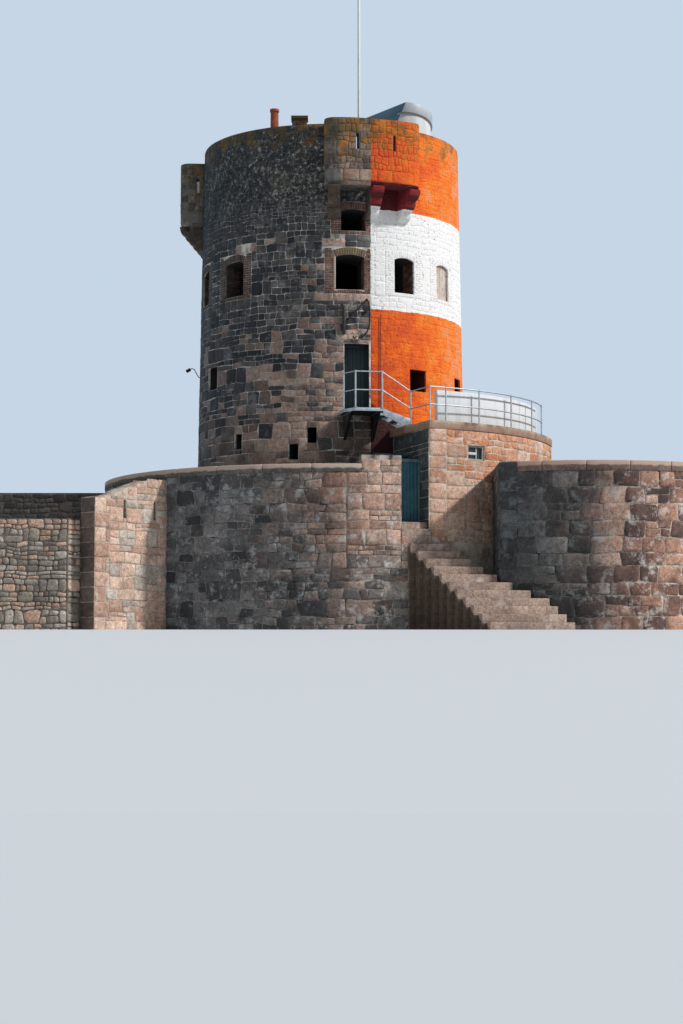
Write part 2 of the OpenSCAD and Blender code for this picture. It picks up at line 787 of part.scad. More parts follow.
corner_x = bastion_left_x + return_t;
module bastion_return_wall() color("#96705f")
    difference() {
        intersection() {
            translate([bastion_left_x, -bastion_y - bastion_r, 0])
                cube([return_t, bastion_y + bastion_r - sqrt(guard_r*guard_r - corner_x*corner_x),
                      ring_top_z]);
            bastion_place() ring_sector(0, bastion_r, 0, ring_top_z, -110,
                                        asin((corner_x - bastion_x)/bastion_r));
        }
        ring_sector(0, guard_r + seat, -1, rim_z, gate_a, asin(corner_x/guard_r) + 1);
    }

module bastion_platform() color("#8f877c")
    difference() {
        bastion_place() cylinder(r = bastion_r - bastion_t - seat, h = yard_z);
        battery_mass();
        left_of_return(bastion_left_x + return_t + seat);
    }

// Bearing along which the wing wall runs, and how far it reaches from the tower axis
wing_a = -45;
wing_reach = ring_r + 2800;
// Distances of the two slits from the tower axis, their sill, height and width
wing_slits = [ring_r + 475, ring_r + 1655];
wing_slit_z = 3460;
wing_slit_h = 540;
wing_slit_w = 90;
module wing_wall() color("#b59a86")
    difference() {
        facing(wing_a) rotate([90, 0, -90]) translate([0, 0, -wing_t/2]) linear_extrude(wing_t)
            polygon([[ring_r - 300, 0], [wing_reach, 0], [wing_reach, wing_z],
                     [ring_r + 2200, wing_z + 60], [ring_r + 1550, wing_top_z - 340],
                     [ring_r + 800, wing_top_z - 90], [ring_r - 300, wing_top_z]]);
        for (r = wing_slits)
            side_slab(wing_a, -wing_t, wing_t, r - wing_slit_w/2, r + wing_slit_w/2,
                      wing_slit_z, wing_slit_z + wing_slit_h);
        battery_mass();
    }

// Both outer walls on the left end here, six bays past the battery
outwork_left_x = -ring_r - 3500;
// Where both would end inside the wing wall and the battery, were they not cut
outwork_right_x = 1500 - ring_r;
// The rubble wall's back meets the wing wall this far behind the wing wall's outer left corner
rubble_lap = 150;
rubble_y = rubble_lap - wing_reach*cos(wing_a) - wing_t/2*sin(wing_a);
rubble_t = 500;

// Low wall that leaves the outer corner of the wing wall to the left
module rubble_wall() color("#8a7f74")
    difference() {
        translate([outwork_left_x, rubble_y - rubble_t, 0])
            cube([outwork_right_x - outwork_left_x, rubble_t, rubble_z]);
        side_slab(wing_a, -wing_t/2 - seat, big, 0, big, -1, rim_z);
    }

far_y = -2000;
far_t = 600;
module far_wall() color("#6f6a66")
    difference() {
        translate([outwork_left_x, far_y - far_t/2, 0])
            cube([outwork_right_x - outwork_left_x, far_t, far_z]);
        battery_mass();
    }

// Turn of the flight, shift of each tread to the right, and the landing's inner left corner
step_turn = 15;
step_skew = 138;
step_start = [gate_x - 405, 500 - ring_r];
step_rise = landing_z/(tread_count + 1);

// Treads and the landing, each a block that stands on the ground
module stone_steps() color("#c9a98f")
    difference() {
        for (k = [0:tread_count])
            translate(step_start) rotate([0, 0, step_turn]) translate([k*step_skew, -k*tread_d, 0])
                cube([flight_w, k == 0 ? 1500 : tread_d - seat, landing_z - k*step_rise]);
        battery_mass();
        side_slab(gate_a, -gate_way_w/2 - seat, gate_way_w/2 + seat, 0, ring_r + 15, -1, rim_z);
        bastion_place() translate([0, 0, -1]) cylinder(r = bastion_r + coping_lip + seat, h = rim_z);
        translate([bastion_left_x - seat, -ring_r - 500, -1]) cube([2000, 4000, rim_z]);
    }

tower_base();
ground_wall(-90, 90);  // ground_wall_front
ground_wall(90, 270);  // ground_wall_back
first_wall_left_of_door();
first_wall_right_of_door();
first_wall_over_door();
first_wall_back();
second_wall(-90, 90, second_windows_front);  // second_wall_front
second_wall(90, 270, second_windows_back);  // second_wall_back
parapet(0);  // parapet_right
parapet(1);  // parapet_back
parapet(2);  // parapet_left
machicolation(0);  // machicolation_front
machicolation(1);  // machicolation_right
machicolation(2);  // machicolation_left
corbels(0);  // corbels_front
corbels(1);  // corbels_right
corbels(2);  // corbels_left
disc_floor(first_room_r, first_floor_z);  // first_floor
disc_floor(second_room_r, second_floor_z);  // second_floor
roof_platform();
tower_door();
window_infill();
stair_head_walls();
stair_head_roof();
stair_head_glazing();
flagpole();
chimney_pot();
chimney_stub();
landing_deck();
landing_stair();
landing_rail();
terrace_rail();
terrace_parapet();
guardhouse_front_wall();
guardhouse_side_wall();
guardhouse_end_wall();
guardhouse_roof();
gate_leaf();
gate_frame();
gate_pier();
gate_steps();
gate_canopy();
ring_wall(-45, pier_a);  // ring_wall_front
ring_wall(-135, -45);  // ring_wall_left
ring_wall(-225, -135);  // ring_wall_back
ring_wall(ring_end_a, -225);  // ring_wall_right
ring_coping();
yard();
bastion_wall(bastion_a0, 80);  // bastion_front_wall
bastion_wall(80, bastion_a1);  // bastion_side_wall
bastion_return_wall();
bastion_coping();
bastion_platform();
wing_wall();
rubble_wall();
far_wall();
stone_steps();
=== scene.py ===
import math
import random

import bmesh
import bpy
from mathutils import Euler, Matrix, Vector, noise


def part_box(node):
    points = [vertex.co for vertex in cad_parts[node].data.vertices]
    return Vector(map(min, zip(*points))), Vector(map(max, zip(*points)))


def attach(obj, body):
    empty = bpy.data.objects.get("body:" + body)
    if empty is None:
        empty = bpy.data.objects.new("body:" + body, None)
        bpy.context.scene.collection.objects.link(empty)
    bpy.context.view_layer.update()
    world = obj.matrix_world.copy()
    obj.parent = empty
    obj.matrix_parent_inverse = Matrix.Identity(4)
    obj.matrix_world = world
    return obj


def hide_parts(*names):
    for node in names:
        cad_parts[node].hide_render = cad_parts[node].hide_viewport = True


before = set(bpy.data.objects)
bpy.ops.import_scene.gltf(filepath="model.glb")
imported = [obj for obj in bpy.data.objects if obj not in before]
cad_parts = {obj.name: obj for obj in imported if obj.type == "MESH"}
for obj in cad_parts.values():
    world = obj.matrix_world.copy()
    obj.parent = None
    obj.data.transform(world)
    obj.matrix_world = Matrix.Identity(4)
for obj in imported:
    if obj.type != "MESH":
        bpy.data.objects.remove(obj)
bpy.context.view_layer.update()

# The camera stands on the foreshore about 70 m from the tower, a little lower than the rock that
# its walls stand on, as the photographer did, and looks slightly up with a short telephoto lens.
image_height_px = 1024
focal_px = 2100
middle_px = (341.5, 512)
tower_axis_px = 331.2
horizon_px = 675
camera_place = (0, -70, -1.27)

camera = bpy.data.objects.new("camera", bpy.data.cameras.new("camera"))
bpy.context.scene.collection.objects.link(camera)
camera.data.sensor_fit = "VERTICAL"
camera.data.sensor_height = 36
camera.data.lens = focal_px/image_height_px*camera.data.sensor_height
camera.data.clip_end = 400
turn = math.atan((middle_px[0] - tower_axis_px)/focal_px)
lift = math.atan((horizon_px - middle_px[1])/focal_px)
camera.location = camera_place
camera.rotation_euler = Euler((math.pi/2 + lift, 0, -turn))
bpy.context.scene.camera = camera

# The battery wall round the yard is random granite masonry on a mortared rubble core. Its stones are
# laid in uneven courses, tall blocks beside stacks of smaller ones, with wide pale lime joints.
ring_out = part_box("ring_wall_left")[0].x*-1
ring_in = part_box("yard")[1].x
ring_wall_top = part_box("ring_wall_left")[1].z
yard_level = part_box("yard")[1].z
lime_joint = 0.026
# The joints wander the same way in every run
noise.seed_set(5)


# Turns an sRGB hex colour into the linear one that a socket takes
def linear(hex_colour):
    parts = [int(hex_colour[i:i + 2], 16)/255 for i in (1, 3, 5)]
    return tuple(p/12.92 if p <= 0.04045 else ((p + 0.055)/1.055)**2.4 for p in parts) + (1,)


# Adds one node and returns its output, or all of them where out is None. The kind may end in an
# operation. Plain values fill the first inputs in turn; a name with a capital is an input's, any other
# a setting's. A socket is linked, and a colour is given in hex.
def add(tree, kind, *values, out=0, stops={}, **named):
    kind, _, operation = kind.partition(" ")
    node = tree.nodes.new(kind if "Node" in kind else "ShaderNode" + kind)
    if operation:
        named["blend_type" if kind == "MixRGB" else "operation"] = operation
    inputs = list(enumerate(values))
    for name, value in named.items():
        if name.islower():
            setattr(node, name, value)
        else:
            inputs.append((name.replace("_", " "), value))
    for key, value in inputs:
        if isinstance(value, bpy.types.NodeSocket):
            tree.links.new(value, node.inputs[key])
        elif value is not None:
            node.inputs[key].default_value = linear(value) if isinstance(value, str) else value
    for k, (place, colour) in enumerate(stops.items()):
        if k >= len(node.color_ramp.elements):
            node.color_ramp.elements.new(1)
        node.color_ramp.elements[k].position = place
        node.color_ramp.elements[k].color = linear(colour)
    return node.outputs if out is None else node.outputs[out]


# A new material, with its node tree, its shader and the place on the object that patterns follow
def start_material(name, roughness, colour, **values):
    made = bpy.data.materials.new(name)
    made.use_nodes = True
    made.diffuse_color = linear(colour)
    shader = made.node_tree.nodes["Principled BSDF"]
    for key, value in {"Base_Color": linear(colour), "Roughness": roughness, **values}.items():
        shader.inputs[key.replace("_", " ")].default_value = value
    return made, made.node_tree, shader, add(made.node_tree, "TexCoord", out="Object")


# Gives a shader its colour and, where a height comes with it, a relief that many metres deep
def surface(shader, colour, height=None, deep=0.0, strength=0.7):
    tree = shader.id_data
    tree.links.new(colour, shader.inputs["Base Color"])
    if height:
        relief = add(tree, "Bump", Height=height, Distance=deep, Strength=strength)
        tree.links.new(relief, shader.inputs["Normal"])


# Puts a mesh, lamp or curve in the scene as an object
def put(name, data):
    made = bpy.data.objects.new(name, data)
    bpy.context.scene.collection.objects.link(made)
    return made


# The plain mesh that an object's modifiers or its curve make
def evaluated(item):
    return bpy.data.meshes.new_from_object(item.evaluated_get(bpy.context.evaluated_depsgraph_get()))


# Length along a round wall from the front to a bearing in degrees
def arc(bearing, radius):
    return math.radians(bearing)*radius


# Point on an upright round wall: along is measured on its face, from the front towards the right,
# and on its inner face, side -1, from the front towards the left
def round_face(radius_at, radius, centre=(0, 0), side=1):
    def wrap(along, level, proud):
        bearing = side*along/radius
        reach = radius_at(level) + side*proud
        return Vector((centre[0] + reach*math.sin(bearing), centre[1] - reach*math.cos(bearing), level))
    return wrap


# Point on a flat upright wall that starts at one foot point and runs to another; it knows its length
def flat_face(start, end):
    start, end = Vector(start[:2]), Vector(end[:2])
    run = (end - start).normalized()
    out = Vector((run.y, -run.x))

    def wrap(along, level, proud):
        at = start + run*along + out*proud
        return Vector((at.x, at.y, level))
    wrap.length = (end - start).length
    return wrap


# Collects the outlines of stones, each with a tone and a share of warm colour
class Stones:
    def __init__(self, chance):
        self.chance = chance
        self.points, self.outlines, self.tones, self.warmths = [], [], [], []

    # One stone with nipped corners that fills the space between its left, right, lower and upper joints
    def block(self, wrap, left, right, low, high, cut=0.2, warm=0.0, tone=None,
              stray=lambda along, level: (along, level)):
        side = min(right - left, high - low)
        nips = [side*cut*self.chance.uniform(0.3, 1) for corner in range(8)]
        corners = [(left + nips[0], low), (right - nips[1], low), (right, low + nips[2]),
                   (right, high - nips[3]), (right - nips[4], high), (left + nips[5], high),
                   (left, high - nips[6]), (left, low + nips[7])]
        self.outline([wrap(*stray(along, level), -0.006) for along, level in corners], warm, tone)

    # One stone or brick from the corners of its face, turning leftwards seen from outside
    def outline(self, corners, warm=0.0, tone=None):
        first = len(self.points)
        self.points += corners
        self.outlines.append(range(first, first + len(corners)))
        self.tones.append(self.chance.random() if tone is None else tone)
        self.warmths.append(warm)

    # Fills a band of wall with courses; gaps are (left, right, low, high) that stay clear of stones
    def lay(self, wrap, left, right, low, high, course, length, tall=0.5, rows=2, gaps=(), joint=lime_joint,
            cut=0.2, warm=lambda along, level: 0.0, tone=lambda level: None, wander=0.03):
        chance = self.chance
        count = max(1, round((high - low)/course))
        levels = [low + (high - low)*(k + (chance.uniform(-0.22, 0.22) if 0 < k < count else 0))/count
                  for k in range(count + 1)]
        close = [gap for gap in gaps if gap[0] < right and gap[1] > left]

        # Joints wander about their lines, less so near the ends of the band and its openings
        def stray(along, level):
            room = min([0.2, level - low, high - level, along - left, right - along] +
                       [max(west - along, along - east, foot - level, level - head)
                        for west, east, foot, head in close])
            push = noise.noise_vector(Vector((along*2.1, level*2.6, low)))*wander*10*max(0.0, room)
            return along + push.x, level + push.y
        bands = []
        for bottom, top in zip(levels, levels[1:]):
            bands.append((bottom, top, left, right, tall))
            for gap_left, gap_right, gap_low, gap_high in gaps:
                for foot, head in ((bottom, gap_low), (gap_high, top)):
                    if bottom <= foot and head <= top and head - foot > 0.09 and gap_right > left:
                        bands.append((foot, head, max(left, gap_left), min(right, gap_right), 1))
        for bottom, top, west_end, east_end, tall in bands:
            for start, end in clear_runs(west_end, east_end, bottom, top, gaps):
                for west, east, stack in self.shares(start, end, length, tall, rows):
                    for k in range(stack):
                        foot = bottom + (top - bottom)*k/stack
                        head = bottom + (top - bottom)*(k + 1)/stack
                        parts = 1 if stack == 1 else max(1, round((east - west)/chance.uniform(*length)*1.3))
                        cuts = [west + (east - west)*(p + (chance.uniform(-0.2, 0.2) if 0 < p < parts else 0))
                                / parts for p in range(parts + 1)]
                        for a, b in zip(cuts, cuts[1:]):
                            self.block(wrap, a + joint/2, b - joint/2, foot + joint/2, head - joint/2,
                                       cut, warm((a + b)/2, (foot + head)/2), tone((foot + head)/2), stray)

    # Shares a run of wall out into tall blocks and stacks of low stones
    def shares(self, start, end, length, tall, rows):
        chance = self.chance
        at = start
        while at < end - 0.02:
            stack = 1 if chance.random() < tall else chance.randint(2, rows)
            wide = chance.uniform(*length)*(1.0 if stack == 1 else chance.uniform(1.3, 2.4))
            if end - at - wide < length[0]*0.8:
                wide = end - at
            yield at, at + wide, stack
            at += wide


# The parts of a course that no opening or dressing takes
def clear_runs(left, right, low, high, gaps):
    runs = [(left, right)]
    for gap_left, gap_right, gap_low, gap_high in gaps:
        if gap_low < high - 0.04 and gap_high > low + 0.04:
            runs = [piece for start, end in runs
                    for piece in ((start, min(end, gap_left)), (max(start, gap_right), end))
                    if piece[1] - piece[0] > 0.09]
    return runs


# A geometry node tree with a geometry, some numbers and a material for its inputs
def start_tree(name, **numbers):
    tree = bpy.data.node_groups.new(name, "GeometryNodeTree")
    sockets = tree.interface
    sockets.new_socket("Geometry", in_out="INPUT", socket_type="NodeSocketGeometry")
    for title, value in numbers.items():
        kind = "NodeSocketInt" if isinstance(value, int) else "NodeSocketFloat"
        sockets.new_socket(title.replace("_", " "), in_out="INPUT", socket_type=kind).default_value = value
    sockets.new_socket("Material", in_out="INPUT", socket_type="NodeSocketMaterial")
    sockets.new_socket("Geometry", in_out="OUTPUT", socket_type="NodeSocketGeometry")
    return tree, add(tree, "NodeGroupInput", out=None)


# Ends a tree: its instances made real, in the material given
def finish_tree(tree, given, geometry):
    real = add(tree, "GeometryNodeRealizeInstances", geometry)
    done = add(tree, "GeometryNodeSetMaterial", real, Material=given["Material"])
    add(tree, "NodeGroupOutput", done, out=None)
    return tree


# Node tree that raises laid stones out of their flat outlines: sides, worn edges and a full face
def stone_tree():
    tree, given = start_tree("laid stones", Proud=0.02, Scatter=0.3, Worn_edge=0.012, Fullness=0.008,
                             Roughness=0.006, Grain=9.0, Arris=0.7, Seed=1)
    chance = add(tree, "FunctionNodeRandomValue", None, None, -1.0, 1.0, Seed=given["Seed"],
                 data_type="FLOAT", out=1)
    spread = add(tree, "Math MULTIPLY", chance, given["Scatter"])
    share = add(tree, "Math ADD", spread, 1.0)
    height = add(tree, "Math MULTIPLY", share, given["Proud"])
    sides = add(tree, "GeometryNodeExtrudeMesh", given["Geometry"], Offset_Scale=height, Individual=True,
                mode="FACES", out=None)
    size = add(tree, "Math SQRT", add(tree, "GeometryNodeInputMeshFaceArea"))
    taken = add(tree, "Math DIVIDE", given["Worn edge"], size)
    kept = add(tree, "Math MULTIPLY_ADD", taken, -2.0, 1.0)
    worn = add(tree, "GeometryNodeExtrudeMesh", sides["Mesh"], sides["Top"], Offset_Scale=given["Worn edge"],
               Individual=True, mode="FACES", out=None)
    drawn = add(tree, "GeometryNodeScaleElements", worn["Mesh"], worn["Top"], Scale=kept, domain="FACE")
    full = add(tree, "GeometryNodeExtrudeMesh", drawn, worn["Top"], Offset_Scale=given["Fullness"],
               Individual=True, mode="FACES", out=None)
    crown = add(tree, "GeometryNodeScaleElements", full["Mesh"], full["Top"], Scale=0.62, domain="FACE")
    rough = add(tree, "TexNoise", Scale=given["Grain"], Detail=3, noise_dimensions="3D", out="Color")
    centred = add(tree, "VectorMath SUBTRACT", rough, (0.5, 0.5, 0.5))
    moved = add(tree, "VectorMath SCALE", centred, Scale=given["Roughness"])
    shaken = add(tree, "GeometryNodeSetPosition", crown, Offset=moved)
    smooth = add(tree, "GeometryNodeSetShadeSmooth", shaken, domain="FACE")
    angle = add(tree, "GeometryNodeInputMeshEdgeAngle", out="Unsigned Angle")
    sharp = add(tree, "FunctionNodeCompare GREATER_THAN", angle, given["Arris"], data_type="FLOAT")
    crisp = add(tree, "GeometryNodeSetShadeSmooth", smooth, sharp, False, domain="EDGE")
    return finish_tree(tree, given, crisp)


# Runs a node tree once over a mesh and returns the plain mesh object that comes out of it
def grow(name, mesh, tree, values):
    seed = put(name + "_outlines", mesh)
    modifier = seed.modifiers.new("grow", "NODES")
    modifier.node_group = tree
    names = {item.name: item.identifier for item in tree.interface.items_tree if item.in_out == "INPUT"}
    for key, value in values.items():
        modifier[names[key]] = value
    bpy.context.view_layer.update()
    piece = put(name, evaluated(seed))
    seed.modifiers.clear()
    bpy.data.objects.remove(seed)
    piece.data.name = name
    return piece


stone_nodes = stone_tree()


# Makes one piece of all the stones collected, riding on the building
def raise_stones(name, stones, material, slot, **values):
    mesh = bpy.data.meshes.new(name + "_outlines")
    mesh.from_pydata(stones.points, [], stones.outlines)
    for title, numbers in (("tone", stones.tones), ("warm", stones.warmths)):
        mesh.attributes.new(title, "FLOAT", "FACE").data.foreach_set("value", numbers)
    given = {"Material": material}
    given.update({key.capitalize().replace("_", " "): value for key, value in values.items()})
    piece = grow(name, mesh, stone_nodes, given)
    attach(piece, "building")
    return piece


# Gives carried-over nodes their own finish
def dress(material, *nodes):
    for node in nodes:
        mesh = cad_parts[node].data
        for k in range(len(mesh.materials)):
            mesh.materials[k] = material


# Granite, split and hammer-dressed: grains of 5 to 15 mm, drawn as 30 mm so that they show, each stone
# with its own tone, mottled over 100 mm, weather stains a metre or so long, smears of lime washed out of
# the joints, and a dull surface
def granite(name, cool, warm, stain="#2c2a28", stain_share=0.45, bump_mm=6, lime="#a9a299", lime_share=0.3):
    made, tree, shader, place = start_material(name, 0.85, cool[len(cool)//2])
    tone = add(tree, "Attribute", attribute_name="tone", out="Fac")
    share = add(tree, "Attribute", attribute_name="warm", out="Fac")
    spread = [k/(len(cool) - 1) for k in range(len(cool))]
    cold = add(tree, "ValToRGB", tone, stops=dict(zip(spread, cool)))
    spread = [k/(len(warm) - 1) for k in range(len(warm))]
    rosy = add(tree, "ValToRGB", tone, stops=dict(zip(spread, warm)))
    stone = add(tree, "MixRGB", share, cold, rosy)
    grain = add(tree, "TexNoise", place, Scale=1/0.03, Detail=4)
    mottle = add(tree, "TexNoise", place, Scale=1/0.11, Detail=6, Roughness=0.7)
    both = add(tree, "Math ADD", grain, mottle)
    light = add(tree, "MapRange", both, 0.78, 1.22, 0.5, 1.46)
    speckled = add(tree, "MixRGB MULTIPLY", 1.0, stone, light)
    weather = add(tree, "TexNoise", place, Scale=1.1, Detail=5, Roughness=0.65)
    dirt = add(tree, "MapRange", weather, 0.45, 0.7, To_Max=stain_share)
    dirty = add(tree, "MixRGB", dirt, speckled, stain)
    smears = add(tree, "TexNoise", place, Scale=2.3, Detail=9, Roughness=0.76, Distortion=0.2)
    smeared = add(tree, "MapRange", smears, 0.53, 0.62, To_Max=lime_share)
    colour = add(tree, "MixRGB", smeared, dirty, lime)
    surface(shader, colour, both, bump_mm/1000, 0.8)
    return made, tree, shader, place, colour


# Greys and tints a material by bands across the object's X, whose edges sway 1.6 m. On the tower's side
# away from the sun this is painted shade; along the battery and the bastion it tints them darker towards
# their left ends.
def tint_across(tree, shader, place, left, right, stops, keep=1.0):
    sway = 1.6
    spot = add(tree, "SeparateXYZ", place, out="X")
    ragged = add(tree, "TexNoise", place, Scale=1.6, Detail=7, Roughness=0.7)
    across = add(tree, "Math MULTIPLY_ADD", ragged, sway, spot)
    share = add(tree, "MapRange", across, left + sway/2, right + sway/2)
    tint = add(tree, "ValToRGB", share, stops=stops)
    richness = add(tree, "MapRange", share, From_Max=0.7, To_Min=keep)
    greyed = add(tree, "HueSaturation", Color=shader.inputs["Base Color"].links[0].from_socket,
                 Saturation=richness)
    tinted = add(tree, "MixRGB MULTIPLY", 1.0, greyed, tint)
    surface(shader, tinted)
    return tinted


# A material whose colour wanders through stops in patches, stretched so many times in height; grit of its
# own scale, or else the patches, raise its relief
def patchy(name, roughness, colour, stops, scale, detail=5.0, rough=0.5, stretch=1.0, grit=None, deep=None,
           strength=0.7, **values):
    made, tree, shader, place = start_material(name, roughness, colour, **values)
    spot = add(tree, "Mapping", place, Scale=(1, 1, 1/stretch))
    patches = add(tree, "TexNoise", spot, Scale=scale, Detail=detail, Roughness=rough)
    tone = add(tree, "ValToRGB", patches, stops=stops)
    height = add(tree, "TexNoise", place, Scale=grit, Detail=3) if grit else patches
    surface(shader, tone, height if deep else None, deep, strength)
    return made, tree, shader, place, tone


# Lime mortar, struck flush and washed out by rain: pale, gritty, with darker damp patches 400 mm wide;
# sand grains of 2 mm are drawn as 12 mm so that they show
def mortar(name, pale, dark, patch=0.4):
    return patchy(name, 0.93, pale, {0.38: dark, 0.6: pale}, 1/patch, 6.0, 0.7, grit=1/0.012, deep=0.004)


# Left of the gate the wall is tinted dark and blue-grey, beside it pink
battery_tints = {0.0: "#a9b1b6", 0.35: "#c3c7ca", 0.62: "#b3b4b6", 0.8: "#cac6c6", 0.9: "#ffffff"}
battery_mortar, tree, shader, place, colour = mortar("washed lime mortar", "#c9bbad", "#3b3632")
tint_across(tree, shader, place, -5.2, 1.9, battery_tints, 0.3)
battery_stone, tree, shader, place, colour = granite(
    "battery granite", ["#474546", "#65615f", "#857f79", "#a89e94"],
    ["#ad8774", "#c9a18b", "#e0bba4", "#b68d79"], stain="#2b2a29", stain_share=0.8, lime="#dedad4",
    lime_share=0.8)
tint_across(tree, shader, place, -5.2, 1.9, battery_tints, 0.3)

dress(battery_mortar, "ring_wall_front", "ring_wall_left", "ring_wall_back", "ring_wall_right", "gate_pier")

pier_bearing = 7.0
gate_bearing = 20.0
gate_half_way = 0.48
ring_end_bearing = -280.0
wing_bearing = -45.0
wing_half = 0.33

ring_left = arc(ring_end_bearing, ring_out)
ring_right = arc(pier_bearing, ring_out)
ring_front_left = arc(-100, ring_out)
wing_spot = arc(wing_bearing, ring_out)
ring_gaps = [(wing_spot - wing_half, wing_spot + wing_half, 0, 4.7)]
outer_face = round_face(lambda level: ring_out, ring_out)
# The stones stand out less than the coping, which oversails them by 30 mm
ring_relief = {"proud": 0.012, "worn_edge": 0.008, "fullness": 0.006, "roughness": 0.005}
# Left edge and foot of the squared stones that the wall beside the gate was rebuilt in
rebuilt = (0.45, 2.3)


# Blocks are pinker towards the top of the wall beside the gate
def near_gate(along, level):
    share = max(0, min(1, (along + 2.4)/2.8))*max(0, min(1, (level - 1.6)/1.4))*(-3 < along < 3)
    return min(1, max(0, share + 0.3*math.sin(along*7.3 + level*11.1) + 0.05))


chance = random.Random(11)
stones = Stones(chance)
pier_right = arc(gate_bearing, ring_out) - gate_half_way - 0.02
ring_gaps.append((rebuilt[0], pier_right, rebuilt[1], ring_wall_top))
# Under the gate's sill a strip of the wall shows beside the steps
below_sill = pier_right + 0.23
ring_gaps.append((pier_right, below_sill, 2.86, ring_wall_top))
stones.lay(outer_face, ring_front_left, below_sill, 0, ring_wall_top, 0.47, (0.42, 0.86),
           gaps=ring_gaps, cut=0.16, warm=near_gate, wander=0.05)
stones.lay(outer_face, rebuilt[0] + 0.02, pier_right, rebuilt[1], ring_wall_top, 0.34, (0.4, 0.74), tall=0.7,
           cut=0.09, warm=near_gate, wander=0.02)
pier_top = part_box("gate_pier")[1].z
stones.lay(outer_face, ring_right, pier_right, ring_wall_top, pier_top - 0.13, 0.39, (0.5, 0.8), tall=0.8,
           cut=0.08, warm=near_gate, wander=0.0)
raise_stones("battery_wall_front_stones", stones, battery_stone, "battery_granite", seed=3, **ring_relief)

stones = Stones(chance)
stones.lay(outer_face, ring_left, ring_front_left, 0, ring_wall_top, 0.47, (0.42, 0.8), tall=0.45, cut=0.24,
           warm=near_gate, wander=0.06)
raise_stones("battery_wall_back_stones", stones, battery_stone, "battery_granite", seed=4, **ring_relief)

stones = Stones(chance)
inner_face = round_face(lambda level: ring_in, ring_in, side=-1)
stones.lay(inner_face, -arc(pier_bearing, ring_in), -arc(ring_end_bearing, ring_in), yard_level,
           ring_wall_top, 0.36, (0.36, 0.66), tall=0.4, warm=near_gate, wander=0.05)
raise_stones("battery_wall_inner_stones", stones, battery_stone, "battery_granite", seed=5, **ring_relief)

# The battery's coping is a ring of dressed granite blocks bedded on the wall, their arrises rounded by
# two centuries of weather.
coping_edge = 0.022


# Rounds a piece's edges, shades it and gives it its one material
def round_edges(piece, material, edge, smooth):
    if edge:
        bevel = piece.modifiers.new("rounded edges", "BEVEL")
        bevel.width = edge
        bevel.segments = 2
        bevel.limit_method = "ANGLE"
        bevel.angle_limit = math.radians(40)
        piece.data = evaluated(piece)
        piece.modifiers.clear()
    mesh = piece.data
    mesh.materials.clear()
    mesh.materials.append(material)
    for face in mesh.polygons:
        face.use_smooth = True
        face.material_index = 0
    mesh.set_sharp_from_angle(angle=math.radians(smooth))


# A worn copy of a carried-over node: its faces are joined and its edges rounded, and it replaces the node
def worn_copy(node, name, material, edge, body="building"):
    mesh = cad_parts[node].data.copy()
    shape = bmesh.new()
    shape.from_mesh(mesh)
    bmesh.ops.remove_doubles(shape, verts=shape.verts, dist=2e-5)
    bmesh.ops.dissolve_limit(shape, angle_limit=math.radians(1), verts=shape.verts, edges=shape.edges)
    for face in shape.faces:
        face.smooth = False
    shape.to_mesh(mesh)
    shape.free()
    piece = put(name, mesh)
    round_edges(piece, material, edge, 35)
    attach(piece, body)
    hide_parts(node)
    return piece


# Weathered granite coping, dark below and washed clean and rosy along its upper edge
def coping_granite(name, top, dark, light):
    made, tree, shader, place, colour = granite(name, dark, dark, stain="#3f3b36", stain_share=0.6, bump_mm=8)
    spot = add(tree, "SeparateXYZ", place, out="Z")
    ragged = add(tree, "TexNoise", place, Scale=4, Detail=6)
    level = add(tree, "Math MULTIPLY_ADD", ragged, 0.12, spot)
    clean = add(tree, "MapRange", level, top - 0.09, top - 0.05, To_Max=0.85)
    washed = add(tree, "MixRGB", clean, colour, light)
    surface(shader, washed)
    return made


coping_height = 0.25
coping_stone = coping_granite("lichened granite coping", ring_wall_top + coping_height, ["#615a53", "#7d736a"],
                              "#cdb5a5")
worn_copy("ring_coping", "battery_coping", coping_stone, coping_edge)

# The yard behind the wall is paved with random granite setts, bedded in sand over rubble fill; the gun
# platform has the same paving.
paving, tree, shader, place = start_material("random granite paving", 0.9, "#8a7f72")
spot = add(tree, "Mapping", place, Scale=(1, 1, 0))
bend = add(tree, "TexNoise", spot, Scale=3, out="Color")
bent = add(tree, "MixRGB", 0.06, spot, bend)
setts = add(tree, "TexVoronoi", bent, Scale=1/0.32, Randomness=0.8, out="Color")
edges = add(tree, "TexVoronoi", bent, Scale=1/0.32, Randomness=0.8, feature="DISTANCE_TO_EDGE")
sett_tone = add(tree, "SeparateXYZ", setts, out="X")
sett_colour = add(tree, "ValToRGB", sett_tone,
                  stops={0: "#6e645b", 0.35: "#84776b", 0.7: "#94816f", 1: "#a18d7c"})
joint = add(tree, "MapRange", edges, 0.02, 0.07)
paved = add(tree, "MixRGB", joint, "#5d5548", sett_colour)
surface(shader, paved, joint, 0.02, 0.6)
dress(paving, "yard", "bastion_platform")

# The tower is random granite on a mortared core nearly two metres thick, battered a little. Large pink
# blocks stand low and beside the door, dark squared stones with thin joints higher up, and small rubble
# in the parapet. Its right side wears thick masonry paint, brushed over stones and joints alike.
foot_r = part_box("tower_base")[1].x
rim_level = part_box("parapet_back")[1].z
head_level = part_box("parapet_back")[0].z
head_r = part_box("parapet_back")[1].y
batter = (foot_r - head_r)/head_level
face_r = 4.4
paint_left = 1.245
paint_right = 135.0
white_low = 10.29
white_high = 13.52
platform_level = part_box("roof_platform")[1].z
parapet_in_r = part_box("roof_platform")[1].x

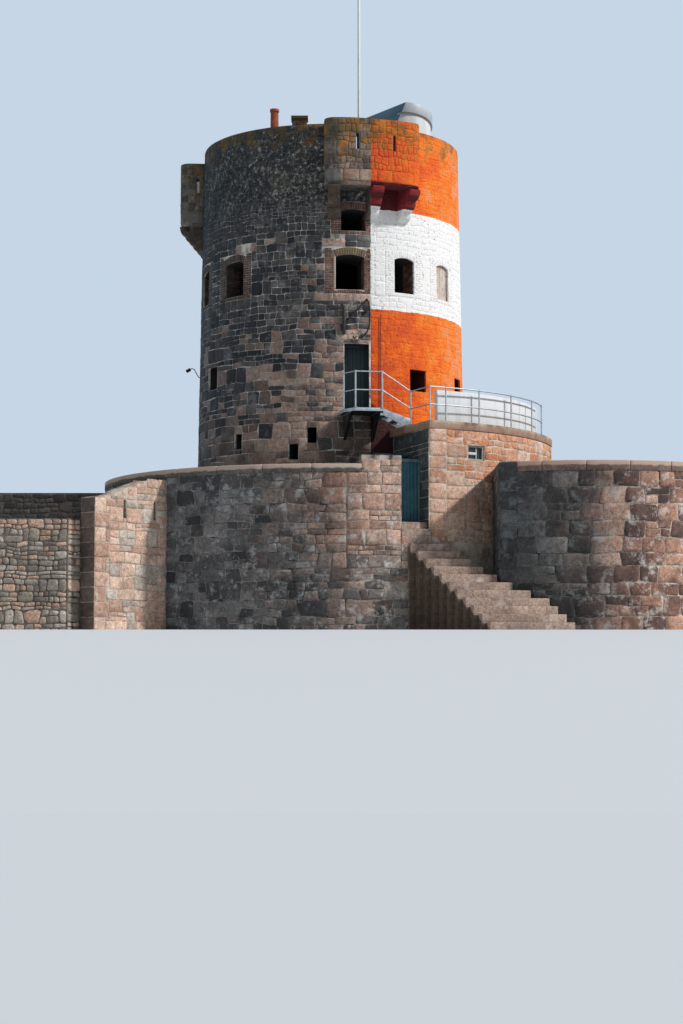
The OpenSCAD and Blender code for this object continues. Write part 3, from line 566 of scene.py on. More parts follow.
# Bearing, width, sill, height of each opening; the brick ones have dressed jambs
brick_windows = [(bearing, width, 10.88, 1.15) for bearing, width in (
    (7.8, 0.93), (32.6, 0.76), (56.6, 0.75), (-46.3, 0.88), (-73.0, 0.80), (107.0, 0.80), (158.0, 0.80),
    (183.0, 0.80), (-125.0, 0.80))]
brick_windows += [(bearing, 0.80, 12.78, 0.71) for bearing in (9.4, 129.4, -110.6)]
plain_windows = [(39.2, 0.68, 7.75, 0.70), (71.0, 0.70, 7.82, 0.62), (-61.5, 0.64, 7.98, 0.74),
                 (135.0, 0.60, 7.80, 0.64), (-150.0, 0.60, 7.80, 0.64)]
loopholes = [(-7.9, 0.30, 6.0, 0.5), (-15.5, 0.30, 5.48, 0.5), (-42.0, 0.30, 5.9, 0.5),
             (150.0, 0.30, 6.0, 0.5), (-150.0, 0.30, 6.0, 0.5)]
door_opening = (10.6, 0.80, 6.97, 2.19)
machicolations = [(16.3, 0.0), (136.3, 0.0), (-103.7, 0.35)]
machicolation_half = 19.0
machicolation_level = 14.1
slit_sides_r = 5.04
# Small dark rubble starts at one level; grey-green growth thickens from there up to the other
rubble_from = 12.8
growth_full = 14.0
brick_jamb = 0.34


# Paints over a bare colour: an orange, a white and an orange band on the side towards the sun. Old
# masonry paint is matt, chalky, pinker where it has faded, and keeps small dark pits between the stones,
# whose darkness is painted shade. The orange is drawn redder and darker towards its left edge, which turns
# from the sun: painted shade. It covers the outer face alone: reveals stay bare or, low down, dark red, and
# undersides are dark red, both painted shade.
def painted(tree, shader, place, bare, upper=None, inside_shade=None):
    spot = add(tree, "SeparateXYZ", place, out=None)
    front = add(tree, "Math MULTIPLY", spot["Y"], -1.0)
    bearing = add(tree, "Math ARCTAN2", spot["X"], front)
    hand = add(tree, "TexNoise", place, Scale=5, Detail=3)
    slip = add(tree, "MapRange", hand, To_Min=-0.035, To_Max=0.035)
    level = add(tree, "Math ADD", spot["Z"], slip)
    edge = add(tree, "Math MULTIPLY_ADD", slip, 0.6, spot["X"])
    from_left = add(tree, "Math GREATER_THAN", edge, paint_left)
    to_right = add(tree, "Math LESS_THAN", bearing, math.radians(paint_right))
    coat = add(tree, "Math MULTIPLY", from_left, to_right)
    flat = add(tree, "VectorMath MULTIPLY", place, (1, 1, 0))
    reach = add(tree, "VectorMath LENGTH", flat, out="Value")
    upright = add(tree, "Math MULTIPLY_ADD", spot["Z"], batter, reach)
    outside = add(tree, "Math GREATER_THAN", upright, foot_r - 0.06)
    over_low = add(tree, "Math GREATER_THAN", level, white_low)
    over_high = add(tree, "Math GREATER_THAN", level, white_high)
    # Painted shade: the orange is drawn redder and darker towards the left edge, which turns from the sun
    painted_shade_across = add(tree, "MapRange", spot["X"], paint_left, head_r, -0.17, 0.19)
    weather = add(tree, "TexNoise", place, Scale=1.3, Detail=6, Roughness=0.65)
    fading_and_shade = add(tree, "Math ADD", weather, painted_shade_across)
    orange = add(tree, "ValToRGB", fading_and_shade,
                 stops={0.3: "#d8501c", 0.46: "#f2650c", 0.6: "#fb8018", 0.78: "#f59660"})
    grime = add(tree, "TexNoise", place, Scale=4.5, Detail=8, Roughness=0.75)
    white = add(tree, "ValToRGB", grime, stops={0.25: "#cfc9c0", 0.33: "#f0eeeb", 0.7: "#f3f2f0"})
    top_coat = add(tree, "MixRGB", 1.0 if upper else 0.0, orange, upper or "#000000")
    # Painted shade: faces that look down are drawn dark red
    facing = add(tree, "SeparateXYZ", add(tree, "NewGeometry", out="Normal"), out="Z")
    underside_shade = add(tree, "Math LESS_THAN", facing, -0.6)
    # Between the corbels the wall is dark red as well, painted shade under the machicolation
    for middle, drop in machicolations[:2] if upper is None else []:
        off = add(tree, "Math SUBTRACT", bearing, math.radians(middle))
        off = add(tree, "Math ABSOLUTE", off)
        near = add(tree, "Math LESS_THAN", off, math.radians(machicolation_half))
        low = add(tree, "Math LESS_THAN", spot["Z"], machicolation_level + 0.125)
        under = add(tree, "Math MULTIPLY", near, low)
        underside_shade = add(tree, "Math MAXIMUM", underside_shade, under)
        # and the sides of the slits are bare
        near = add(tree, "Math LESS_THAN", off, math.radians(machicolation_half - 6))
        deep = add(tree, "Math LESS_THAN", reach, slit_sides_r)
        inside = add(tree, "Math MULTIPLY", near, deep)
        inside = add(tree, "Math GREATER_THAN", inside, low)
        coat = add(tree, "Math SUBTRACT", coat, inside)
        coat = add(tree, "Math MAXIMUM", coat, 0.0)
    shaded = add(tree, "MixRGB", underside_shade, top_coat, "#5d1519")
    above = add(tree, "MixRGB", over_high, white, shaded)
    # Below the terrace and under the flight of steel stairs the wall is drawn dark: painted shade
    stair = add(tree, "Math MULTIPLY_ADD", spot["X"], 0.59, level)
    stair = add(tree, "Math SUBTRACT", stair, 1.66)
    stair = add(tree, "Math MINIMUM", stair, level)
    foot = add(tree, "MapRange", stair, 6.3, 6.4)
    lower_band_shaded = add(tree, "MixRGB", foot, "#3d1614", orange)
    band = add(tree, "MixRGB", over_low, lower_band_shaded, above)
    # Pits of 20 to 60 mm that the brush never filled, drawn darker as painted shade in them
    holes = add(tree, "TexNoise", place, Scale=13, Detail=4, Roughness=0.6)
    pits_and_shade = add(tree, "MapRange", holes, 0.6, 0.68, To_Max=0.8)
    band = add(tree, "MixRGB MULTIPLY", pits_and_shade, band, "#8f7264")
    # Painted shade: low reveals on the painted side are dark red, the orange in the reveal's shade
    low_coat = add(tree, "Math SUBTRACT", 1.0, over_low)
    reveal_shade_share = add(tree, "Math MULTIPLY", coat, low_coat)
    within = add(tree, "MixRGB", outside, inside_shade or "#000000", bare) if inside_shade else bare
    reveal = add(tree, "MixRGB", reveal_shade_share, within, "#4a1311")
    # The outer face is the one that looks away from the tower's middle
    level_way = add(tree, "VectorMath DOT_PRODUCT", add(tree, "NewGeometry", out="True Normal"), flat,
                    out="Value")
    turned_out = add(tree, "Math GREATER_THAN", level_way, -0.5)
    share = add(tree, "Math MULTIPLY", coat, outside)
    share = add(tree, "Math MULTIPLY", share, turned_out)
    result = add(tree, "MixRGB", share, reveal, band)
    surface(shader, result)
    # Coat upon coat leaves lumps 40 to 150 mm long, wider than high
    flattened = add(tree, "Mapping", place, Scale=(1, 1, 2))
    lumps = add(tree, "TexNoise", flattened, Scale=6.5, Detail=7, Roughness=0.68)
    # and the white coat is the smoothest
    middle = add(tree, "Math SUBTRACT", over_low, over_high)
    relief = add(tree, "MapRange", middle, To_Min=0.6, To_Max=0.16)
    relief = add(tree, "Math MULTIPLY", share, relief)
    lumpy = add(tree, "Bump", Height=lumps, Distance=0.1, Strength=relief,
                Normal=shader.inputs["Normal"].links[0].from_socket)
    tree.links.new(lumpy, shader.inputs["Normal"])
    return result


# Crusts of lichen thicken towards the rim: olive brown on the shaded side, ochre and gold on the sunny
def lichened_rim(tree, shader, place, colour, low, high, amount=1.0):
    spot = add(tree, "SeparateXYZ", place, out=None)
    height = add(tree, "MapRange", spot["Z"], low, high, -0.14, 0.14)
    crust = add(tree, "TexNoise", place, Scale=2.6, Detail=8, Roughness=0.7)
    thick = add(tree, "Math ADD", crust, height)
    share = add(tree, "MapRange", thick, 0.52, 0.64, To_Max=amount)
    hue = add(tree, "TexNoise", place, Scale=2.7, Detail=5)
    sunny = add(tree, "MapRange", spot["X"], -1.2, 2.2, -0.1, 0.17)
    warmer = add(tree, "Math ADD", hue, sunny)
    colours = add(tree, "ValToRGB", warmer,
                  stops={0.34: "#463c28", 0.46: "#64502a", 0.6: "#8a5a20", 0.74: "#b9741c"})
    result = add(tree, "MixRGB", share, colour, colours)
    surface(shader, result)
    return result


tower_stone, tree, shader, place, colour = granite(
    "dark weathered granite", ["#14171b", "#22262b", "#34363b", "#4a4948", "#69655f"],
    ["#6e5a50", "#8f7567", "#ae9182", "#c4a896", "#9c8474"], stain="#1d1f22", stain_share=0.6, lime="#a3a19c",
    lime_share=0.45)
spot = add(tree, "SeparateXYZ", place, out="Z")
# Above the upper windows rain has drawn lime and grey-green growth over the stones, in 30 to 80 mm specks
high_share = add(tree, "MapRange", spot, rubble_from, growth_full)
specks = add(tree, "TexNoise", place, Scale=8, Detail=4, Roughness=0.75)
patches = add(tree, "TexNoise", place, Scale=1.3, Detail=5, Roughness=0.65)
patched = add(tree, "Math MULTIPLY_ADD", patches, 0.4, specks)
speckle = add(tree, "ValToRGB", patched,
              stops={0.57: "#090d10", 0.67: "#1a2023", 0.74: "#3e4342", 0.8: "#8b8d85", 0.87: "#dcddd5"})
browner = add(tree, "MapRange", patches, 0.5, 0.62, To_Max=0.5)
grown = add(tree, "MixRGB", browner, speckle, "#4a3f2c")
veil = add(tree, "Math MULTIPLY", high_share, 0.85)
veiled = add(tree, "MixRGB", veil, colour, grown)
# Under the landing the wall is drawn nearly black: damp, and painted shade of the landing and terrace over it
away = add(tree, "VectorMath DISTANCE", place, (0.75, -4.4, 5.9), out="Value")
damp_and_shade = add(tree, "MapRange", away, 1.0, 1.25, 0.62, 0.0)
darkened_under_landing = add(tree, "MixRGB", damp_and_shade, veiled, "#1c2422")
surface(shader, darkened_under_landing)
# Painted shade: the side away from the sun is tinted darker and bluer
colour = tint_across(tree, shader, place, -4.6, -1.6, {0.0: "#98b4c8", 1.0: "#ffffff"})
colour = painted(tree, shader, place, colour)
lichened_rim(tree, shader, place, colour, 14.7, 16.3, 0.85)

tower_mortar, tree, shader, place, colour = mortar("old lime mortar", "#e2dcd4", "#55504b")
spot = add(tree, "SeparateXYZ", place, out="Z")
parapet_share = add(tree, "MapRange", spot, rubble_from, growth_full, To_Max=0.85)
parapet_joint = add(tree, "MixRGB", parapet_share, colour, "#4d4d48")
# Painted shade: inside the openings and the tower the mortar is drawn nearly black
colour = painted(tree, shader, place, parapet_joint, inside_shade="#2a2826")
lichened_rim(tree, shader, place, colour, 15.4, 16.3)
dress(tower_mortar, "tower_base", "ground_wall_front", "ground_wall_back", "first_wall_left_of_door",
      "first_wall_right_of_door", "first_wall_over_door", "first_wall_back", "second_wall_front",
      "second_wall_back", "parapet_right", "parapet_back", "parapet_left", "machicolation_front",
      "machicolation_right", "machicolation_left")

tower_face = round_face(lambda level: foot_r - batter*level, face_r)


# The part of the tower's face that an opening takes, widened by its dressing
def opening_gap(bearing, width, sill, height, side=0.0, under=0.0, over=0.0):
    middle = arc(bearing, face_r)
    half = width/2*face_r/(foot_r - batter*sill) + side
    return (middle - half, middle + half, sill - under, sill + height + over)


# The same gap counted the other ways round as well, because the walls start at different bearings
def turns(gap, radius=face_r):
    return [(gap[0] + lap, gap[1] + lap, gap[2], gap[3]) for lap in (-2*math.pi*radius, 0, 2*math.pi*radius)]


# Pink dressed blocks over the second window from the left, and over and under the window by the paint:
# left and right along the face, foot and head
pink_blocks = [(-3.48, -2.58, 12.27, 12.54), (-0.30, 0.44, 12.27, 12.52), (-0.52, 0.06, 10.53, 10.76),
               (0.08, 0.66, 10.53, 10.76), (0.68, 1.26, 10.53, 10.76)]
tower_gaps = list(pink_blocks)
for window in brick_windows:
    tower_gaps += turns(opening_gap(*window, side=brick_jamb, under=0.12, over=0.23))
for window in plain_windows + loopholes:
    tower_gaps += turns(opening_gap(*window, side=0.02))
tower_gaps += turns(opening_gap(*door_opening, side=0.02, over=0.02))
for bearing, drop in machicolations:
    middle = arc(bearing, face_r)
    half = arc(machicolation_half, face_r)
    tower_gaps += turns((middle - half, middle + half, machicolation_level - drop - 0.02, rim_level))


# How likely a stone is one of the pink and brown ones: always low down, often beside the door
def rosiness(along, level):
    bearing = math.degrees(along/face_r)
    low = max(0.0, min(1.0, (7.6 - level)/1.2))
    start = 12 if level > 8.5 else 30
    near_door = max(0.0, min(1.0, (bearing + start)/12))*max(0.0, min(1.0, (10.3 - level)/0.5))*(bearing < 90)
    mixed = 0.3 if level < 8.5 else 0.12 if level < 10.2 else 0.03 if level < rubble_from else 0
    share = max(low*0.93, near_door*0.85, mixed)
    return 1.0 if chance.random() < share else 0.1*chance.random()


chance = random.Random(29)
storeys = [(yard_level, 7.0, 0.42, (0.42, 0.66), 0.7, 2, 0.018, 0.07),
           (7.0, 10.0, 0.40, (0.34, 0.6), 0.38, 2, 0.018, 0.13),
           (10.0, rubble_from, 0.39, (0.26, 0.48), 0.22, 2, 0.017, 0.16),
           (rubble_from, rim_level - 0.02, 0.38, (0.18, 0.34), 0.06, 3, 0.014, 0.2)]
quarter = math.pi/2*face_r
paint_start = math.asin(paint_left/(foot_r - batter*10))*face_r
paint_end = arc(paint_right, face_r)
bare_relief = {"proud": 0.014, "fullness": 0.004, "worn_edge": 0.006, "roughness": 0.012}
coat_relief = {"proud": 0.006, "fullness": 0.002, "worn_edge": 0.002, "roughness": 0.014, "grain": 5.0,
               "arris": 1.2}
for title, left, right, relief in (("tower_front_stones", -quarter, paint_start, bare_relief),
                                   ("tower_painted_stones", paint_start, paint_end, coat_relief),
                                   ("tower_back_stones", paint_end, 3*quarter, bare_relief)):
    stones = Stones(chance)
    for low, high, course, length, tall, rows, joint, cut in storeys:
        stones.lay(tower_face, left, right, low, high, course, length, tall=tall, rows=rows,
                   gaps=tower_gaps, joint=joint if relief is bare_relief else 0.008, cut=cut, warm=rosiness,
                   tone=lambda level: None if level < rubble_from else chance.uniform(0.2, 0.7), wander=0.035)
    if left < 0:
        for block in pink_blocks:
            stones.block(tower_face, *block, cut=0.06, warm=1.0, tone=chance.uniform(0.5, 0.9))
    raise_stones(title, stones, tower_stone, "tower_granite", seed=7, **relief)

stones = Stones(chance)
parapet_face = round_face(lambda level: parapet_in_r, parapet_in_r, side=-1)
inner_gaps = []
for bearing, drop in machicolations:
    middle = -arc(bearing, parapet_in_r)
    half = arc(machicolation_half - 6.0, parapet_in_r)
    inner_gaps += turns((middle - half, middle + half, 0, rim_level), parapet_in_r)
stones.lay(parapet_face, -math.pi*parapet_in_r, math.pi*parapet_in_r, platform_level, rim_level - 0.02,
           0.37, (0.3, 0.5), tall=0.2, gaps=inner_gaps, warm=lambda along, level: chance.random()*0.4)
raise_stones("parapet_inner_stones", stones, tower_stone, "tower_granite", proud=0.012, seed=8)

# Hand-made bricks dress the upper windows: jambs toothed into the granite, an arch of bricks on end, a
# sill of headers, and reveals in stretcher bond. They are common reds and browns in pale lime joints.
brick_long = 0.215
brick_wide = 0.1025
brick_high = 0.065
brick_joint = 0.010
brick_course = brick_high + brick_joint
window_rise = 0.09
reveal_depth = 0.6
brick_relief = {"proud": 0.010, "worn_edge": 0.004, "fullness": 0.002, "roughness": 0.004, "grain": 20.0}

window_brick, tree, shader, place, colour = granite(
    "hand-made brick", ["#4b3128", "#60402f", "#73503f", "#866250", "#564036"], ["#7a5645", "#8f6b57"],
    stain="#2c2420", stain_share=0.5, bump_mm=3, lime="#b3a493")
# Moss and lichen sit on the arch beside the paint
spot = add(tree, "VectorMath DISTANCE", place, (0.6, -4.2, 12.12), out="Value")
mossy = add(tree, "MapRange", spot, 0.3, 0.6, 0.55, 0.0)
# Painted shade: on the side away from the sun the bricks are tinted darker and bluer, like the tower's stones
colour = tint_across(tree, shader, place, -4.0, -1.4, {0.0: "#9ea4a8", 1.0: "#ffffff"}, 0.5)
mossed = add(tree, "MixRGB", mossy, colour, "#6d6530")
painted(tree, shader, place, mossed)


# Bricks round one window: jambs, arch and sill on the tower's face
def brick_surround(stones, bearing, width, sill, height, rise):
    swell = face_r/(foot_r - batter*sill)
    middle = arc(bearing, face_r)
    half = width/2*swell
    spring = sill + height - rise
    arch_r = ((width/2)**2 + rise**2)/(2*rise)
    arch_foot = sill + height - arch_r
    rows = int((height + brick_long + 0.01)/brick_course)
    for row in range(rows):
        foot = sill + row*brick_course
        skew = max(0, foot + brick_high - spring)*(width/2/arch_r)*1.15
        cuts = (0, brick_wide, brick_wide + brick_joint + brick_long)
        if row % 2:
            cuts = (0, brick_long, brick_long + brick_joint + brick_wide)
        for side in (-1, 1):
            for k in range(2):
                near = half + cuts[k]*swell + (brick_joint if k else skew)
                far = half + cuts[k + 1]*swell
                ends = sorted((middle + side*near, middle + side*far))
                stones.block(tower_face, *ends, foot, foot + brick_high, cut=0)
    spread = math.asin(width/2/arch_r)
    count = max(3, round(2*spread*arch_r/brick_course))
    for k in range(count):
        lean = [spread*(2*(k + part)/count - 1) for part in (0.06, 0.94)]
        corners = [(lean[0], arch_r), (lean[1], arch_r), (lean[1], arch_r + brick_long),
                   (lean[0], arch_r + brick_long)]
        stones.outline([tower_face(middle + r*math.sin(a)*swell, arch_foot + r*math.cos(a), -0.006)
                        for a, r in corners])
    reach = half + brick_jamb - 0.02
    count = round(2*reach/brick_course)
    for k in range(count):
        stones.block(tower_face, middle - reach + 2*reach*k/count, middle - reach + 2*reach*(k + 0.87)/count,
                     sill - 0.11, sill - 0.01, cut=0)


# Point given sideways, out from the tower's axis and up, along a bearing
def along_bearing(bearing, side, out, level=0.0):
    return Matrix.Rotation(math.radians(bearing), 3, "Z") @ Vector((side, -out, level))


# Rows of stretchers, every other one shifted
def stretchers(stones, face, length, sill, rows, shift, edge=0.0):
    for row in range(rows):
        foot = sill + row*brick_course
        at = -(row % 2)*shift
        while at < length:
            start, end = max(at, edge), min(at + brick_long, length - edge)
            if end - start > 0.04:
                stones.block(face, start, end, foot, foot + brick_high, cut=0)
            at += brick_long + brick_joint


# Bricks on both reveals of one window
def brick_reveals(stones, bearing, width, sill, height, rise):
    outer = math.sqrt((foot_r - batter*(sill + height/2))**2 - (width/2)**2) - 0.03
    for side in (-1, 1):
        ends = [along_bearing(bearing, side*width/2, out) for out in (outer, outer - reveal_depth)]
        stretchers(stones, flat_face(*ends[::-side]), reveal_depth, sill, int((height - rise)/brick_course),
                   (brick_long + brick_joint)/2)


chance = random.Random(41)
surrounds, reveals = Stones(chance), Stones(chance)
for bearing, width, sill, height in brick_windows:
    rise = window_rise if height > 1 else 0.06
    brick_surround(surrounds, bearing, width, sill, height, rise)
    brick_reveals(reveals, bearing, width, sill, height, rise)
raise_stones("window_brick_surrounds", surrounds, window_brick, "tower_granite", seed=12, **brick_relief)
raise_stones("window_brick_reveals", reveals, window_brick, "tower_granite", seed=13, scatter=0.1,
             **brick_relief)

# One window on the sunny side is closed with a panel of lime plaster on boards, blotched by rain and
# cracked along the boards.
plaster, tree, shader, place, plaster_tone = patchy(
    "trowelled lime plaster", 0.9, "#cdc0b0", {0.35: "#a8968a", 0.5: "#c9b8a9", 0.7: "#d9ccbf"}, 5.0, 6.0, 0.7,
    deep=0.01, strength=0.5)
turned = add(tree, "Mapping", place, Rotation=(0, 0, -math.radians(brick_windows[2][0])), Scale=(1, 1, 0.04))
seams = add(tree, "TexNoise", turned, Scale=11, Detail=2)
seam_line = add(tree, "MapRange", seams, 0.6, 0.63, To_Max=0.55)
cracked = add(tree, "MixRGB", seam_line, plaster_tone, "#7d6a62")
surface(shader, cracked)
dress(plaster, "window_infill")

# The window beside the paint has a thin strip of pale render along its left jamb and its sill.
strip_wide = 0.055
strip_proud = 0.016


# Box with its corners given along a bearing: sideways, outwards and up; returned in a bmesh
def bearing_box(shape, bearing, x0, x1, y0, y1, z0, z1):
    turn = Matrix.Rotation(math.radians(bearing), 4, "Z")
    made = bmesh.ops.create_cube(shape, size=1, matrix=turn @ Matrix.Translation(
        ((x0 + x1)/2, -(y0 + y1)/2, (z0 + z1)/2)) @ Matrix.Diagonal((x1 - x0, y1 - y0, z1 - z0, 1)))
    return made["verts"]


# Turns a bmesh into a piece with softened edges that rides on a body
def finish_piece(name, shape, material, edge=0.004, body="building", smooth=35):
    mesh = bpy.data.meshes.new(name)
    shape.to_mesh(mesh)
    shape.free()
    piece = put(name, mesh)
    round_edges(piece, material, edge, smooth)
    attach(piece, body)
    return piece


# Makes one piece of boxes that stand along one bearing
def box_piece(name, bearing, boxes, material, edge=0.004, body="building"):
    shape = bmesh.new()
    for box in boxes:
        bearing_box(shape, bearing, *box)
    return finish_piece(name, shape, material, edge, body)


strip_bearing, strip_width, strip_sill, strip_height = brick_windows[0]
strip_half = strip_width/2
strip_face = math.sqrt((foot_r - batter*strip_sill)**2 - strip_half**2)
strip_boxes = [
    (-strip_half - strip_wide, -strip_half + 0.01, strip_face - 0.3, strip_face + strip_proud - 0.012,
     strip_sill, strip_sill + strip_height - window_rise),
    (-strip_half - strip_wide, strip_half, strip_face - 0.3, strip_face + strip_proud, strip_sill - strip_wide,
     strip_sill + 0.008)]
box_piece("window_render_strip", strip_bearing, strip_boxes, plaster, edge=0.006)

# The tower door is a leaf of upright deal boards in a plain frame, set deep in its reveal. Its dark teal
# gloss has gone dull, with runs of dust and worn board edges.
door_bearing, door_wide, door_foot, door_tall = door_opening
board_wide = 0.13
board_gap = 0.004


# Gloss paint on boards: the grain shows through, with worn patches and runs of dust
def board_paint(name, colour, worn, roughness, dust="#5d6a68"):
    made, tree, shader, place = start_material(name, roughness, colour)
    drawn = add(tree, "Mapping", place, Scale=(1, 1, 0.06))
    grain = add(tree, "TexNoise", drawn, Scale=60, Detail=4)
    patches = add(tree, "TexNoise", place, Scale=2.6, Detail=6, Roughness=0.7)
    faded = add(tree, "ValToRGB", patches, stops={0.35: colour, 0.7: worn})
    dusty = add(tree, "TexNoise", drawn, Scale=14, Detail=5)
    dust_share = add(tree, "MapRange", dusty, 0.55, 0.75, To_Max=0.35)
    final = add(tree, "MixRGB", dust_share, faded, dust)
    surface(shader, final, grain, 0.002, 0.6)
    return made


# Upright boards side by side between two edges, each with its own slight set
def boards(left, right, back, front, foot, head, chance, wide=board_wide):
    count = max(1, round((right - left)/wide))
    return [(left + (right - left)*k/count + board_gap/2, left + (right - left)*(k + 1)/count - board_gap/2,
             back, front - chance.uniform(0, 0.003), foot, head) for k in range(count)]


door_paint = board_paint("dull dark teal gloss on deal", "#101f21", "#1a2c2e", 0.6, dust="#2f3c3d")
door_thick = 0.07
seat = 0.0003
door_back = foot_r - batter*door_foot - 0.38 - door_thick
door_half = door_wide/2 - seat
door_head = door_foot + door_tall
stile_wide = 0.055
door_boxes = [(x0, x1, door_back, door_back + door_thick, z0, door_head - seat) for x0, x1, z0 in (
    (-door_half, -door_half + stile_wide, door_foot + seat),
    (door_half - stile_wide, door_half, door_foot + seat),
    (-door_half + stile_wide + 0.001, door_half - stile_wide - 0.001, door_head - 0.075))]
door_boxes += boards(-door_half + 0.058, door_half - 0.058, door_back + 0.012, door_back + 0.055,
                     door_foot + 0.012, door_head - 0.08, random.Random(5))
door_leaf = box_piece("tower_door_boards", door_bearing, door_boxes, door_paint, edge=0.005)
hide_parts("tower_door")

# Forged iron left from a hoist stands over the door: an upright bar leaded into the wall, a stay that
# rises to the right, and a hooked bar that hangs from its end. All of it is painted black and rusty.
iron = patchy("rusted black iron", 0.75, "#1d1b1b", {0.4: "#1b1a1b", 0.6: "#3a2a22", 0.75: "#5d3a26"}, 18, 6,
              0.7, deep=0.003)[0]


# A round bar that runs through points; its ends are closed
def bar(points, thick, sides=3):
    curve = bpy.data.curves.new("bar", "CURVE")
    curve.dimensions = "3D"
    curve.bevel_depth = thick/2
    curve.bevel_resolution = sides
    curve.use_fill_caps = True
    line = curve.splines.new("POLY")
    line.points.add(len(points) - 1)
    for at, point in zip(line.points, points):
        at.co = (*point, 1)
    holder = put("bar", curve)
    mesh = evaluated(holder)
    bpy.data.objects.remove(holder)
    bpy.data.curves.remove(curve)
    return mesh


# Joins bars into one piece
def bars_piece(name, meshes, material):
    shape = bmesh.new()
    for mesh in meshes:
        shape.from_mesh(mesh)
        bpy.data.meshes.remove(mesh)
    bmesh.ops.recalc_face_normals(shape, faces=shape.faces)
    return finish_piece(name, shape, material, edge=0, smooth=50)


# Point on the tower's front, given sideways, up and out from the face
def on_tower(x, level, proud):
    reach = foot_r - batter*level + proud
    return (x, -math.sqrt(reach**2 - x*x), level)


upright_x = 0.40
stay_end = (1.12, 10.56)
# Each bar's points (sideways, up, out from the face), its thickness and how round it is
iron_bars = [
    (((upright_x, 9.48, -0.05), (upright_x, 9.48, 0.06), (upright_x, 9.6, 0.075), (upright_x, 10.30, 0.075),
      (upright_x - 0.07, 10.42, 0.03)), 0.09, 3),
    (((upright_x, 9.74, 0.07), (*stay_end, 0.22)), 0.05, 3),
    (((*stay_end, -0.05), (*stay_end, 0.24), (1.19, 10.44, 0.25), (1.215, 10.1, 0.22), (1.205, 9.74, 0.17),
      (1.13, 9.53, 0.12), (0.98, 9.37, 0.09), (0.86, 9.33, 0.05)), 0.05, 3),
    (((1.10, 10.22, -0.03), (1.10, 10.22, 0.08)), 0.13, 1),
    (((0.80, 9.42, -0.02), (0.74, 9.30, 0.08), (0.68, 9.42, -0.02)), 0.05, 3)]
bars_piece("hoist_irons", [bar([on_tower(*point) for point in points], thick, sides)
                           for points, thick, sides in iron_bars], iron)

# A thin conduit is clipped up the painted wall right of the door, painted in with it.
conduit_paint = patchy("painted conduit", 0.6, "#8c3a22", {0.4: "#4c2a22", 0.6: "#8a3b22", 0.75: "#b04f26"},
                       9)[0]
conduit_x = 1.56
conduit_foot = 7.1
conduit_head = 10.1
run = [on_tower(conduit_x, conduit_foot + (conduit_head - conduit_foot)*k/8, 0.035) for k in range(9)]
meshes = [bar(run, 0.025)]
for k in range(6):
    level = conduit_foot + 0.25 + 0.5*k
    clip = [on_tower(conduit_x + x, level, proud)
            for x, proud in ((-0.03, 0), (-0.016, 0.05), (0.016, 0.05), (0.03, 0))]
    meshes.append(bar(clip, 0.008, 1))
bars_piece("wall_conduit", meshes, conduit_paint)

# A swan-necked lamp bracket of thin steel tube stands out from the tower's left side.
lamp_level = 8.9
lamp_bearing = -86
reach = foot_r - batter*lamp_level
neck, shade = ([along_bearing(lamp_bearing, 0, reach + out, lamp_level + up) for out, up in points]
               for points in (
    ((-0.05, -0.25), (0.05, -0.25), (0.13, -0.12), (0.2, 0.02), (0.3, 0.05), (0.36, -0.02)),
    ((0.33, 0.02), (0.47, -0.06))))
bars_piece("side_lamp", [bar(neck, 0.03), bar(shade, 0.11, 4)], iron)

# Three machicolations stand out from the tower's head on corbels. Their walls are the tower's granite,
# with a bottom course of large pink blocks that span between the corbels, and small rubble above it.
mach_out = 5.08
mach_corner = 0.35
mach_chamfer = 0.12
slit_wide = 0.10
slit_foot = 15.24
slit_tall = 0.5
corner_turn = math.radians(machicolation_half) - math.asin(mach_corner/(mach_out - mach_corner))
front_half = mach_out*corner_turn
corner_run = mach_corner*(math.pi/2 + math.radians(machicolation_half) - corner_turn)
side_start = math.sqrt((mach_out - mach_corner)**2 - mach_corner**2)


# Point on a machicolation's outside, measured from its middle round its corners and back to the tower
def machicolation_face(bearing, drop):
    def wrap(along, level, proud):
        side = 1 if along >= 0 else -1
        rest = abs(along)
        if rest <= front_half:
            x, y = ((mach_out + proud)*f(rest/mach_out) for f in (math.sin, math.cos))
        elif rest <= front_half + corner_run:
            lean = corner_turn + (rest - front_half)/mach_corner
            x, y = ((mach_out - mach_corner)*f(corner_turn) + (mach_corner + proud)*f(lean)
                    for f in (math.sin, math.cos))
        else:
            back = side_start - (rest - front_half - corner_run)
            half = math.radians(machicolation_half)
            x = back*math.sin(half) + proud*math.cos(half)
            y = back*math.cos(half) - proud*math.sin(half)
        cut = mach_out - mach_chamfer + max(0, level - machicolation_level + drop) + proud
        reach = math.hypot(x, y)
        if reach > cut:
            x, y = x*cut/reach, y*cut/reach
        turn = math.radians(bearing)
        x *= side
        return Vector((x*math.cos(turn) + y*math.sin(turn), x*math.sin(turn) - y*math.cos(turn), level))
    return wrap


